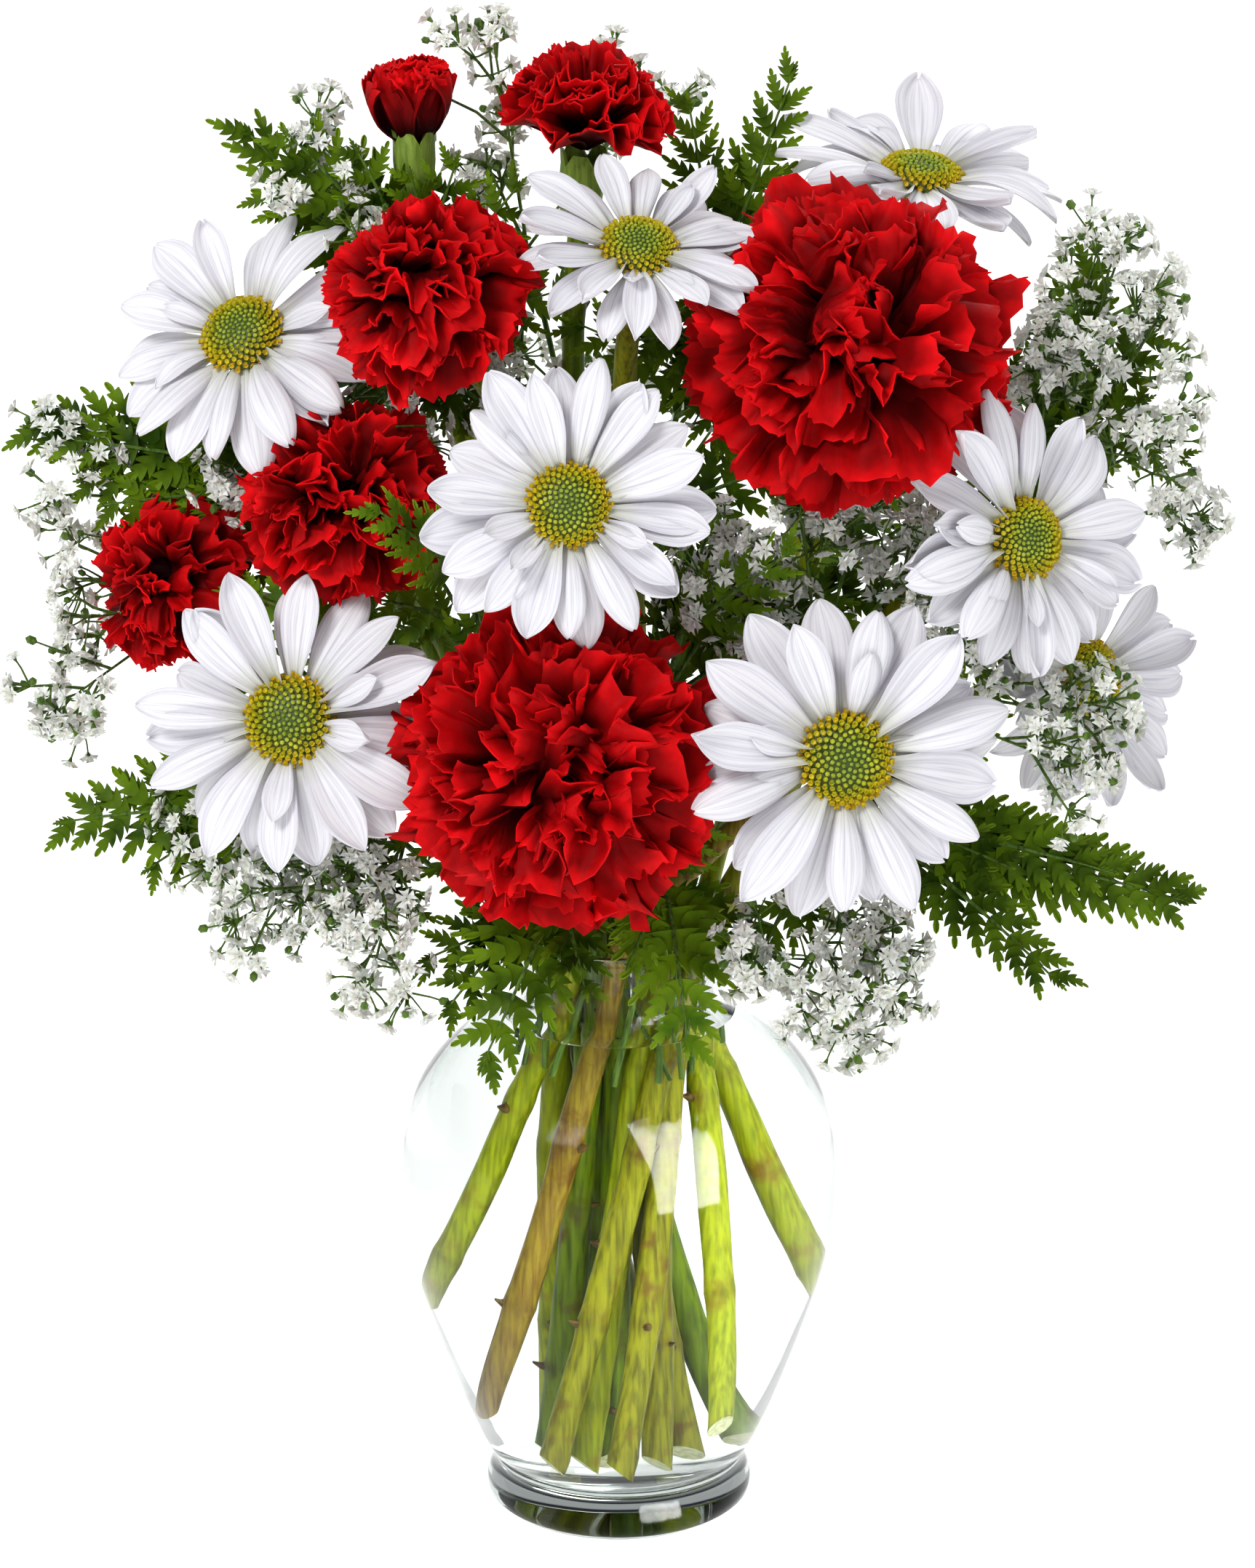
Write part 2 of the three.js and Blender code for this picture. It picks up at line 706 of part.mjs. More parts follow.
function fernSolid(spec, line, extra = 0) {
  const root = vec(...spec.root);
  return joined([tube(line, extra), ...spec.blades.map((each) => fernBlade(root, each, extra))]);
}

// a three-sided rod that ends in a floret, standing along Z from the origin
function floretRod(root, thin, length) {
  const rod = [[0, 0], [root, 0], [thin, length - FLORET_RADIUS]];
  return turned([...rod, [FLORET_RADIUS, length], [0, length + 2]], 3);
}

// a cloud of florets: a twig along Z, and thin rods that leave its three faces in turn
function floretCloud(length, { reach, florets }, random) {
  const solids = [solidOf(floretRod(1.25, 0.9, length + reach + 2).translate(0, 0, -2))];
  for (let i = 1; i < florets; i++) {
    const share = i / florets;
    const rise = radians(30 + 25 * share + 8 * random());
    const around = radians(120 * i - 30 + 24 * (random() - 0.5));
    const wide = reach * (0.62 + 0.38 * random()) * Math.sqrt(Math.sin(Math.PI * (0.15 + 0.75 * share)));
    const rod = floretRod(0.55, 0.55, wide / Math.cos(rise))
      .rotateY(Math.PI / 2 - rise)
      .rotateZ(around)
      .translate(0, 0, length + reach * (1.5 * share - 1.15));
    solids.push(solidOf(rod));
  }
  return joined(solids);
}

// a spray: its stalk, and its clouds of florets that fork from the stalk's end
function spraySolid(spec, line, number) {
  const random = seeded(300 + number);
  const fork = vec(...spec.fork);
  const clouds = spec.clouds.map((cloud) => {
    const along = vec(...cloud.at).sub(fork);
    const turn = new THREE.Quaternion().setFromUnitVectors(vec(0, 0, 1), along.clone().normalize());
    const frame = new THREE.Matrix4().compose(fork, turn, vec(1, 1, 1));
    return floretCloud(along.length(), cloud, random).transform(frame.elements);
  });
  return joined([tube(line), ...clouds]);
}

// ---- the bouquet ----

const COLOURS = {
  glass: { color: 0xeef4f2, roughness: 0.05, metalness: 0, transparent: true, opacity: 0.3 },
  water: { color: 0xe8f2ee, roughness: 0.02, metalness: 0, transparent: true, opacity: 0.35 },
  red: { color: 0xb3060c, roughness: 0.6, metalness: 0, side: THREE.DoubleSide },
  white: { color: 0xf4f2f6, roughness: 0.55, metalness: 0, side: THREE.DoubleSide },
  yellow: { color: 0xb5b21c, roughness: 0.75, metalness: 0 },
  stem: { color: 0x7f9a2c, roughness: 0.5, metalness: 0 },
  fern: { color: 0x2f5a1e, roughness: 0.5, metalness: 0, side: THREE.DoubleSide },
  spray: { color: 0xe9efe0, roughness: 0.7, metalness: 0 },
};

const bouquet = new THREE.Group();

function show(name, solid, colour, parent = bouquet) {
  const mesh = new THREE.Mesh(geometryOf(solid), new THREE.MeshStandardMaterial(COLOURS[colour]));
  mesh.name = name;
  parent.add(mesh);
}

// every head with its frame, its stem line and the flattened ball that others avoid
function bloomHead(spec, kind) {
  const face = vec(...spec.face).normalize();
  const isCarnation = kind === "carnation";
  const { mouth, calyxLength } = carnationShape(spec);
  const origin = vec(...spec.at).addScaledVector(face, isCarnation ? -mouth : 0);
  const matrix = standAt(origin.toArray(), spec.face);
  const back = isCarnation ? calyxLength - 2 : 6;
  const line = stemLine({
    ring: spec.ring,
    turn: spec.turn - 30,
    head: origin.clone().addScaledVector(face, -back),
    lead: face.clone().multiplyScalar(20),
    radius: STEM_RADIUS,
    sides: STEM_SIDES,
    steps: STEM_STEPS,
  });
  const middle = matrix.clone();
  middle.setPosition(origin.clone().addScaledVector(face, isCarnation ? mouth : 2));
  return {
    spec,
    matrix: middle,
    frame: matrix,
    inverse: middle.clone().invert(),
    wide: spec.radius + 2,
    deep: isCarnation ? spec.radius * 0.72 : 9,
    line,
  };
}

function stalkLine(turn, end) {
  const head = vec(...end);
  return stemLine({
    ring: "stalks",
    turn: turn - 10,
    head,
    lead: vec(head.x, head.y, 60).setLength(14),
    radius: STALK_RADIUS,
    sides: STALK_SIDES,
    steps: STALK_STEPS,
  });
}

const carnations = CARNATIONS.map((spec) => bloomHead(spec, "carnation"));
const daisies = DAISIES.map((spec) => bloomHead(spec, "daisy"));
const fernLines = FERNS.map((spec) => stalkLine(spec.turn, spec.root));
const sprayLines = SPRAYS.map((spec) => stalkLine(spec.turn, spec.fork));
const heads = [...carnations, ...daisies];
const stemLines = heads.map((head) => head.line);
const lines = [...stemLines, ...fernLines, ...sprayLines];
bendClear(lines, heads);

show("vase", vaseSolid(), "glass");
show("water", waterSolid(lines), "water");

// a little more room than a head takes, so that foliage stays out from between petals
function hullOf(solid) {
  const mesh = solid.getMesh();
  const points = [];
  const middle = vec(0, 0, 0);
  for (let i = 0; i < mesh.vertProperties.length; i += 3) {
    points.push(vec(...mesh.vertProperties.slice(i, i + 3)));
    middle.add(points[points.length - 1]);
  }
  middle.divideScalar(points.length);
  points.forEach((point) => point.sub(middle).multiplyScalar(1.025).add(middle));
  return solidOf(new ConvexGeometry(points));
}

function trimmed(solid, obstacles) {
  const box = solid.boundingBox();
  const near = obstacles.filter((each) => {
    const other = each.boundingBox();
    return [0, 1, 2].every((k) => box.min[k] < other.max[k] && other.min[k] < box.max[k]);
  });
  return largestBody(near.reduce((rest, each) => rest.subtract(each), solid));
}

// each head is placed by its own group, and its petals lie in the head's frame
function showHead(name, { frame }, petals, colour) {
  const group = new THREE.Group();
  group.applyMatrix4(frame);
  bouquet.add(group);
  show(`${name}_petals`, petals.transform(frame.clone().invert().elements), colour, group);
  return group;
}

// Where two heads press together, the carnation's soft petals give way to the daisy's.
const daisyRoom = daisies.map(({ spec, frame }, i) => daisyHead(spec, i, GAP).transform(frame.elements));
const hulls = [];
carnations.forEach((head, i) => {
  const name = `carnation_${i + 1}`;
  const petals = trimmed(carnationHead(head.spec, i).transform(head.frame.elements), daisyRoom);
  showHead(name, head, petals, "red");
  show(`${name}_stem`, carnationStem(head.spec, head.line, head.frame), "stem");
  hulls.push(hullOf(petals));
});
daisies.forEach((head, i) => {
  const name = `daisy_${i + 1}`;
  const petals = daisyHead(head.spec, i).transform(head.frame.elements);
  const group = showHead(name, head, petals, "white");
  show(`${name}_disc`, daisyDisc(head.spec), "yellow", group);
  show(`${name}_stem`, daisyStem(head.spec, head.line, head.frame), "stem");
  hulls.push(hullOf(petals));
});

// Foliage is trimmed where it would run into a head, a stem, the vase or other foliage.
const vaseRoom = solidOf(turned([[0, -1], ...offsetProfile(VASE_OUTER, 2 * GAP), [0, 170.5]], VASE_SIDES));
const mouthProfile = bowl.map(([r, z]) => [Math.max(r - GAP, 0), z]);
const mouthRoom = solidOf(turned([...mouthProfile, [34, 171], [0, 171]], VASE_SIDES));
const glassRoom = vaseRoom.subtract(mouthRoom);
const stemRoom = stemLines.map((line) => tube(line, GAP));
const taken = [...hulls, ...stemRoom, glassRoom];

FERNS.forEach((spec, i) => {
  const others = [...fernLines, ...sprayLines].filter((line) => line !== fernLines[i]);
  const stalks = others.map((line) => tube(line, GAP));
  const solid = trimmed(fernSolid(spec, fernLines[i]), [...taken, ...stalks]);
  show(`fern_${i + 1}`, solid, "fern");
  taken.push(fernSolid(spec, fernLines[i], GAP));
});
SPRAYS.forEach((spec, i) => {
  const stalks = sprayLines.filter((line) => line !== sprayLines[i]).map((line) => tube(line, GAP));
  const solid = trimmed(spraySolid(spec, sprayLines[i], i), [...taken, ...stalks]);
  show(`babys_breath_${i + 1}`, solid, "spray");
});

export default bouquet;
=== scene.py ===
import math
import random

import bmesh
import bpy
from mathutils import Matrix, Vector, noise


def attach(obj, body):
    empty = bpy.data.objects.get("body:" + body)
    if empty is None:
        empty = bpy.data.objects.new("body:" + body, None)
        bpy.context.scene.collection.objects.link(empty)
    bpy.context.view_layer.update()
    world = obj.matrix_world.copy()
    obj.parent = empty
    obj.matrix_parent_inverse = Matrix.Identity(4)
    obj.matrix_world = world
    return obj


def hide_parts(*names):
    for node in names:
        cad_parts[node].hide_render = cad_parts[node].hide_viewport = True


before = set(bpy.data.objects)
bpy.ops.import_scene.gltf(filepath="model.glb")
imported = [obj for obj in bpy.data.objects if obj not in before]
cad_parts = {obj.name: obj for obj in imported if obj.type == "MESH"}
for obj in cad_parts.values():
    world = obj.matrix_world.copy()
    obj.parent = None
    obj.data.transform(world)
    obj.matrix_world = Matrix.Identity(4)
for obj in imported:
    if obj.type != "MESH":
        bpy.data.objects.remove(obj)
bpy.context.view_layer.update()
mm = 0.001
fullTurn = 6.28  # radians
goldenTurn = 2.39996  # radians from one petal or floret of a spiral to the next
noise.seed_set(5)  # or else the crumples of the petals would differ from run to run
print("frame loaded")


# small helpers

def deselectAll():
    bpy.ops.object.select_all(action="DESELECT")


def activate(piece):
    deselectAll()
    piece.select_set(True)
    bpy.context.view_layer.objects.active = piece


def applyModifier(piece, kind, **settings):
    activate(piece)
    modifier = piece.modifiers.new(kind, kind)
    for name, value in settings.items():
        setattr(modifier, name, value)
    bpy.ops.object.modifier_apply(modifier=modifier.name)


def joinParts(parts, name):
    deselectAll()
    for part in parts:
        part.select_set(True)
    bpy.context.view_layer.objects.active = parts[0]
    if len(parts) > 1:
        bpy.ops.object.join()
    parts[0].name = parts[0].data.name = name
    return parts[0]


def copyTo(pattern, matrix):  # a copy with its own mesh, moved in its mesh
    part = pattern.copy()
    part.data = pattern.data.copy()
    part.data.transform(matrix)
    bpy.context.collection.objects.link(part)
    return part


def discard(patterns):
    for pattern in patterns:
        bpy.data.objects.remove(pattern)


def smooth(piece, angle=60):
    activate(piece)
    bpy.ops.object.shade_smooth_by_angle(angle=math.radians(angle))


def editMode(piece, select="DESELECT"):
    activate(piece)
    bpy.ops.object.mode_set(mode="EDIT")
    bpy.ops.mesh.select_mode(type="VERT")
    bpy.ops.mesh.select_all(action=select)


def objectMode():
    bpy.ops.object.mode_set(mode="OBJECT")


def newShape(name=""):  # the primitive that was just added, with its place put into its mesh
    bpy.ops.object.transform_apply(location=True)
    piece = bpy.context.object
    piece.name = piece.data.name = name or piece.name
    return piece


def turnedBy(degrees, axis):
    return Matrix.Rotation(math.radians(degrees), 4, axis)


def selectPoints(piece, numbers):  # in edit mode, exactly these points
    mesh = bmesh.from_edit_mesh(piece.data)
    for point in mesh.verts:
        point.select = point.index in numbers
    mesh.select_flush_mode()
    bmesh.update_edit_mesh(piece.data)


def linesOf(piece, axis):  # the points of a new grid, grouped in lines across one axis
    groups = {}
    for point in piece.data.vertices:
        groups.setdefault(round(point.co[axis], 5), set()).add(point.index)
    return [groups[key] for key in sorted(groups)]


def basis(origin, x, y, z, scale=(1, 1, 1)):
    matrix = Matrix((x * scale[0], y * scale[1], z * scale[2])).transposed().to_4x4()
    matrix.translation = origin
    return matrix


def smoothLine(points, spacing):  # a rounded line through the points, in even steps
    line = []
    ends = [2 * points[0] - points[1], *points, 2 * points[-1] - points[-2]]
    for i in range(1, len(ends) - 2):
        a, b, c, d = ends[i - 1:i + 3]
        steps = max(1, round((c - b).length / spacing))
        for k in range(steps):
            t = k / steps
            line.append(0.5 * ((2 * b) + (c - a) * t + (2 * a - 5 * b + 4 * c - d) * t ** 2
                               + (3 * b - a - 3 * c + d) * t ** 3))
    return [*line, points[-1].copy()]


def tubeAlong(lines, sides, name):  # lines are lists of (place, radius); closed tubes
    bpy.ops.curve.primitive_bezier_curve_add()
    piece = bpy.context.object
    curve = piece.data
    curve.splines.clear()
    for line in lines:
        spline = curve.splines.new("POLY")
        spline.points.add(len(line) - 1)
        for point, (place, radius) in zip(spline.points, line):
            point.co = (*place, 1)
            point.radius = radius
    curve.dimensions = "3D"
    curve.bevel_mode = "ROUND"
    curve.bevel_depth = 1
    curve.bevel_resolution = max(0, (sides - 4) // 2)
    curve.use_fill_caps = True
    bpy.ops.object.convert(target="MESH")
    piece = bpy.context.object
    piece.name = piece.data.name = name
    return piece


def settle(piece, slot, *nodes):
    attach(piece, "root")
    if nodes:
        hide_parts(*nodes)


def seededShares(seed):  # the same even spread of numbers that the solids were placed by
    state = seed
    while True:
        state = (state * 1664525 + 1013904223) % 4294967296
        yield state / 4294967296


# materials

def linear(colour):  # sRGB hex to the linear values that nodes take
    channels = [int(colour[i:i + 2], 16) / 255 for i in (1, 3, 5)]
    return (*[c / 12.92 if c <= 0.04045 else ((c + 0.055) / 1.055) ** 2.4 for c in channels], 1)


def connect(material, node, links):  # a source is a socket, or a node for its first output
    for key, source in links.items():
        socket = source.outputs[0] if hasattr(source, "outputs") else source
        material.node_tree.links.new(socket, node.inputs[key])


def addNode(material, kind, settings=None, links=None):
    node = material.node_tree.nodes.new("ShaderNode" + kind)
    for key, value in (settings or {}).items():
        if key == "stops":
            ramp = node.color_ramp
            while len(ramp.elements) < len(value):
                ramp.elements.new(0.5)
            for element, (position, colour) in zip(ramp.elements, value):
                element.position = position
                element.color = linear(colour)
        elif isinstance(key, int) or key in node.inputs:
            node.inputs[key].default_value = value
        else:
            setattr(node, key, value)
    connect(material, node, links or {})
    return node


def newMaterial(name, settings):
    material = bpy.data.materials.new(name)
    material.use_nodes = True
    shader = material.node_tree.nodes["Principled BSDF"]
    for key, value in settings.items():
        shader.inputs[key].default_value = value
    return material, shader


# Fresh carnation petal, a velvety skin of tiny cells: painted nearly black at its foot deep in the folds as
# painted shade, dark red on the blade and painted bright along the frilled edge as a painted highlight,
# with fine veins that fan out.
def carnationPetalMaterial():
    material, shader = newMaterial("carnation petal, fresh velvet", {
        "Roughness": 0.6, "Specular IOR Level": 0.06,
        "Sheen Weight": 0.03, "Sheen Roughness": 0.4, "Sheen Tint": linear("#ff3030"),
        "Subsurface Weight": 0.06, "Subsurface Scale": 1.2 * mm, "Subsurface Radius": (1, 0.1, 0.06)})
    petalUv = addNode(material, "UVMap", {"uv_map": "petal"})
    split = addNode(material, "SeparateXYZ", links={0: petalUv})
    # painted shade and painted highlight: nearly black at the petal's foot, where shade falls deep in the
    # head, bright red at its edge
    depth = addNode(material, "ValToRGB", {"stops": [
        (0, "#0a0001"), (0.35, "#2c0002"), (0.62, "#600103"), (0.86, "#9c0206"), (1, "#dc0c12")]},
        {0: split.outputs["Y"]})
    place = addNode(material, "TexCoord")
    patches = addNode(material, "TexNoise", {"Scale": 1 / (9 * mm), "Detail": 4},
                      {"Vector": place.outputs["Object"]})
    tone = addNode(material, "MapRange", {"From Min": 0.3, "From Max": 0.7, "To Min": 0.5, "To Max": 1.35},
                   {"Value": patches})
    tinted = addNode(material, "HueSaturation", links={"Value": tone, "Color": depth})
    stretch = addNode(material, "Mapping", {"Scale": (26, 1.2, 1)}, {"Vector": petalUv})
    veins = addNode(material, "TexNoise", {"Scale": 1, "Detail": 2}, {"Vector": stretch})
    raised = addNode(material, "Bump", {"Strength": 0.5, "Distance": 0.25 * mm}, {"Height": veins})
    connect(material, shader, {"Base Color": tinted, "Normal": raised})
    return material


# Fresh white ray petal, thin and slightly see-through: cool white, greenish at its foot,
# with lengthwise grooves about 0.8 mm apart whose low parts are painted lilac-grey as painted shade.
def daisyPetalMaterial():
    material, shader = newMaterial("daisy ray petal, fresh white", {
        "Roughness": 0.48, "Specular IOR Level": 0.35, "Sheen Weight": 0.15,
        "Subsurface Weight": 0.25, "Subsurface Scale": 1.5 * mm, "Subsurface Radius": (1, 0.9, 0.85)})
    petalUv = addNode(material, "UVMap", {"uv_map": "petal"})
    split = addNode(material, "SeparateXYZ", links={0: petalUv})
    length = addNode(material, "ValToRGB", {"stops": [
        (0, "#b4bd84"), (0.1, "#d4d5c8"), (0.32, "#eeedf1"), (1, "#f1f0f4")]}, {0: split.outputs["Y"]})
    stretch = addNode(material, "Mapping", {"Scale": (11, 0.7, 1)}, {"Vector": petalUv})
    grooves = addNode(material, "TexNoise", {"Scale": 1, "Detail": 3, "Roughness": 0.6},
                      {"Vector": stretch})
    # painted shade: the low parts of the grooves are coloured lilac-grey
    paintedGrooveShade = addNode(material, "ValToRGB", {"stops": [(0.3, "#c6c2ce"), (0.54, "#ffffff")]}, {0: grooves})
    mixed = addNode(material, "Mix", {"data_type": "RGBA", "blend_type": "MULTIPLY", 0: 0.9},
                    {6: length, 7: paintedGrooveShade})
    raised = addNode(material, "Bump", {"Strength": 0.7, "Distance": 0.3 * mm}, {"Height": grooves})
    connect(material, shader, {"Base Color": mixed.outputs[2], "Normal": raised})
    return material


# The disc's packed florets: green closed buds in the middle, ripe yellow ones at the rim; the dome between
# them is painted dark as painted shade.
def daisyDiscMaterial():
    material, shader = newMaterial("daisy disc florets, fresh", {
        "Roughness": 0.55, "Subsurface Weight": 0.15, "Subsurface Scale": 0.6 * mm})
    ripeness = addNode(material, "Attribute", {"attribute_name": "ripeness"})
    # the first, dark stop colours only the dome between the florets, which has no ripeness: painted shade
    # in the gaps
    ripe = addNode(material, "ValToRGB", {"stops": [
        (0, "#4c5c14"), (0.04, "#86a026"), (0.4, "#9cae26"), (0.65, "#c4c222"), (0.85, "#dcc81c"),
        (1, "#d8b018")]}, {0: ripeness.outputs["Fac"]})
    place = addNode(material, "TexCoord")
    grain = addNode(material, "TexNoise", {"Scale": 1 / (0.9 * mm), "Detail": 2},
                    {"Vector": place.outputs["Object"]})
    tone = addNode(material, "MapRange", {"From Min": 0.3, "From Max": 0.7, "To Min": 0.75, "To Max": 1.15},
                   {"Value": grain})
    tinted = addNode(material, "HueSaturation", links={"Value": tone, "Color": ripe})
    connect(material, shader, {"Base Color": tinted})
    return material


# Living stem: waxy skin with lengthwise streaks about 1 mm wide, darker scuffs, and a brownish
# ring where each leaf was.
def stemMaterial(name, dark, light, scuff):
    material, shader = newMaterial(name, {"Roughness": 0.42, "Specular IOR Level": 0.15,
                                          "Subsurface Weight": 0.08, "Subsurface Scale": 1 * mm})
    place = addNode(material, "TexCoord")
    stretch = addNode(material, "Mapping", {"Scale": (1 / (1.1 * mm), 1 / (1.1 * mm), 1 / (16 * mm))},
                      {"Vector": place.outputs["Object"]})
    streaks = addNode(material, "TexNoise", {"Scale": 1, "Detail": 3}, {"Vector": stretch})
    skin = addNode(material, "ValToRGB", {"stops": [(0.32, dark), (0.62, light)]}, {0: streaks})
    patches = addNode(material, "TexNoise", {"Scale": 1 / (11 * mm), "Detail": 4, "Roughness": 0.65},
                      {"Vector": place.outputs["Object"]})
    worn = addNode(material, "MapRange", {"From Min": 0.56, "From Max": 0.72}, {"Value": patches})
    mixed = addNode(material, "Mix", {"data_type": "RGBA", 7: linear(scuff)}, {0: worn, 6: skin})
    ringed = addNode(material, "Attribute", {"attribute_name": "leafRing"})
    darkened = addNode(material, "Mix",
                       {"data_type": "RGBA", "blend_type": "MULTIPLY", 7: linear("#a89468")},
                       {0: ringed.outputs["Fac"], 6: mixed.outputs[2]})
    raised = addNode(material, "Bump", {"Strength": 0.4, "Distance": 0.3 * mm}, {"Height": streaks})
    connect(material, shader, {"Base Color": darkened.outputs[2], "Normal": raised})
    return material


# Leatherleaf: tough glossy leaf, dark with paler new tips; the UV's Y runs to each tip.
def leafMaterial(name, deep, fresh, tip):
    material, shader = newMaterial(name, {"Roughness": 0.48, "Specular IOR Level": 0.07,
                                          "Subsurface Weight": 0.06, "Subsurface Scale": 0.8 * mm})
    place = addNode(material, "TexCoord")
    patches = addNode(material, "TexNoise", {"Scale": 1 / (14 * mm), "Detail": 4},
                      {"Vector": place.outputs["Object"]})
    green = addNode(material, "ValToRGB", {"stops": [(0.35, deep), (0.65, fresh)]}, {0: patches})
    leafUv = addNode(material, "UVMap", {"uv_map": "petal"})
    split = addNode(material, "SeparateXYZ", links={0: leafUv})
    far = addNode(material, "MapRange", {"From Min": 0.5, "From Max": 1.1, "To Max": 0.7},
                  {"Value": split.outputs["Y"]})
    mixed = addNode(material, "Mix", {"data_type": "RGBA", 7: linear(tip)}, {0: far, 6: green})
    stretch = addNode(material, "Mapping", {"Scale": (6, 22, 1)}, {"Vector": leafUv})
    veins = addNode(material, "TexNoise", {"Scale": 1, "Detail": 1}, {"Vector": stretch})
    raised = addNode(material, "Bump", {"Strength": 0.35, "Distance": 0.2 * mm}, {"Height": veins})
    connect(material, shader, {"Base Color": mixed.outputs[2], "Normal": raised})
    return material


# Baby's breath floret: papery white, a little creamy in random patches.
def floretMaterial():
    material, shader = newMaterial("baby's breath floret, papery white", {
        "Roughness": 0.6, "Subsurface Weight": 0.2, "Subsurface Scale": 1 * mm})
    place = addNode(material, "TexCoord")
    crumple = addNode(material, "TexNoise", {"Scale": 1 / (1.6 * mm), "Detail": 2},
                      {"Vector": place.outputs["Object"]})
    white = addNode(material, "ValToRGB", {"stops": [(0.35, "#dfe0d2"), (0.6, "#f9f9f6")]}, {0: crumple})
    connect(material, shader, {"Base Color": white})
    return material


# Blown soda-lime glass: clear, smooth, with the soft waves of a pressed mould, about
# 20 mm long, that bend the light a little. It takes up a little light, so that its edges
# and its solid foot look grey-green. It mirrors little from the front and much at its edges.
def glassMaterial():
    material, shader = newMaterial("soda-lime glass, mould blown", {
        "Base Color": (1, 1, 1, 1), "Roughness": 0, "IOR": 1.4, "Transmission Weight": 1,
        "Specular Tint": linear("#5a5a5a")})
    place = addNode(material, "TexCoord")
    waves = addNode(material, "TexNoise", {"Scale": 1 / (22 * mm), "Detail": 1},
                    {"Vector": place.outputs["Object"]})
    raised = addNode(material, "Bump", {"Strength": 0.25, "Distance": 0.3 * mm}, {"Height": waves})
    connect(material, shader, {"Normal": raised})
    tint = addNode(material, "VolumeAbsorption", {"Color": linear("#bcc6c2"), "Density": 18})
    connect(material, material.node_tree.nodes["Material Output"], {"Volume": tint})
    return material


# Fresh tap water, clear, with a hardly moving surface.
def waterMaterial():
    material, shader = newMaterial("water, clear", {
        "Base Color": linear("#fbfffc"), "Roughness": 0, "IOR": 1.32, "Transmission Weight": 1,
        "Specular Tint": linear("#5a5a5a")})
    place = addNode(material, "TexCoord")
    ripple = addNode(material, "TexNoise", {"Scale": 1 / (18 * mm), "Detail": 0},
                     {"Vector": place.outputs["Object"]})
    raised = addNode(material, "Bump", {"Strength": 0.1, "Distance": 0.2 * mm}, {"Height": ripple})
    connect(material, shader, {"Normal": raised})
    return material


petalRed = carnationPetalMaterial()
petalWhite = daisyPetalMaterial()
discYellow = daisyDiscMaterial()
stemGreens = [
    stemMaterial("flower stem, olive green", "#505004", "#868712", "#5f4212"),
    stemMaterial("flower stem, yellow green", "#6c7806", "#9ba616", "#7a6410"),
    stemMaterial("flower stem, deep green", "#3e5408", "#6e8610", "#564410"),
]
stemBrown = stemMaterial("flower stem, browned", "#5e4210", "#8a7820", "#4e2a10")
calyxGreen = stemMaterial("carnation calyx, waxy pale green", "#5c7a24", "#8fa846", "#6c8434")
pith = stemMaterial("cut stem end, pale pith", "#b9c08a", "#e0e2b8", "#a2a066")
scarBrown = stemMaterial("leaf scar, dried brown", "#3c2a12", "#6a5420", "#2c1c0c")
twigGreen = stemMaterial("baby's breath twig, thin green", "#2f4a16", "#5c7a2c", "#465624")
fernDark = leafMaterial("leatherleaf, grown leaf", "#243c02", "#58760c", "#86a81c")
fernLight = leafMaterial("leatherleaf, young leaf", "#3c5c06", "#6a8c12", "#98b628")
floretWhite = floretMaterial()
glass = glassMaterial()
water = waterMaterial()
print("materials made")


# camera, floor and light

studio = {
    # the camera: what it looks at, its distance in millimetres, its height in degrees and its lens
    "target": (2.45, 0, 206.9), "distance": 1300, "elevation": 17, "lens": 110.7,
    "floor": 60, "glow": (0.4, 0.8),  # width in metres, and its brightness near and far away
    # place, size and power in watts of each soft lamp, which is aimed at the middle of the bouquet
    "lamps": {"key": ((-0.9, -1.2, 1.6), 0.6, 23), "fill": ((1.3, -1.0, 0.8), 1.0, 4),
              "back": ((0.5, 1.2, 1.3), 1.0, 12)},
    "lampAim": (0, 0, 0.25),
    # the window that only the glass mirrors
    "window": (0.62, -0.85, 0.66), "windowAim": (0, 0, 0.12), "windowSize": (0.8, 1.5), "windowPower": 560,
    # colour of the sky by height: white under the horizon, dark just above it, pale overhead
    "sky": [(0, "#c3c4c5"), (0.1, "#c3c4c5"), (0.16, "#242629"), (0.26, "#414347"), (0.5, "#9c9ea2"),
            (1, "#c0c1c4")],
}
seeThrough = bpy.data.collections.new("pieces that light goes through")
mirrorsWindow = bpy.data.collections.new("pieces that mirror the window")


def aimAt(item, place, target):
    item.location = place
    item.rotation_euler = (Vector(place) - Vector(target)).to_track_quat("Z", "Y").to_euler()
    bpy.context.collection.objects.link(item)


def makeLamp(name, place, target, power):
    lamp = bpy.data.objects.new(name, bpy.data.lights.new(name, "AREA"))
    lamp.data.energy = power
    aimAt(lamp, place, target)
    return lamp


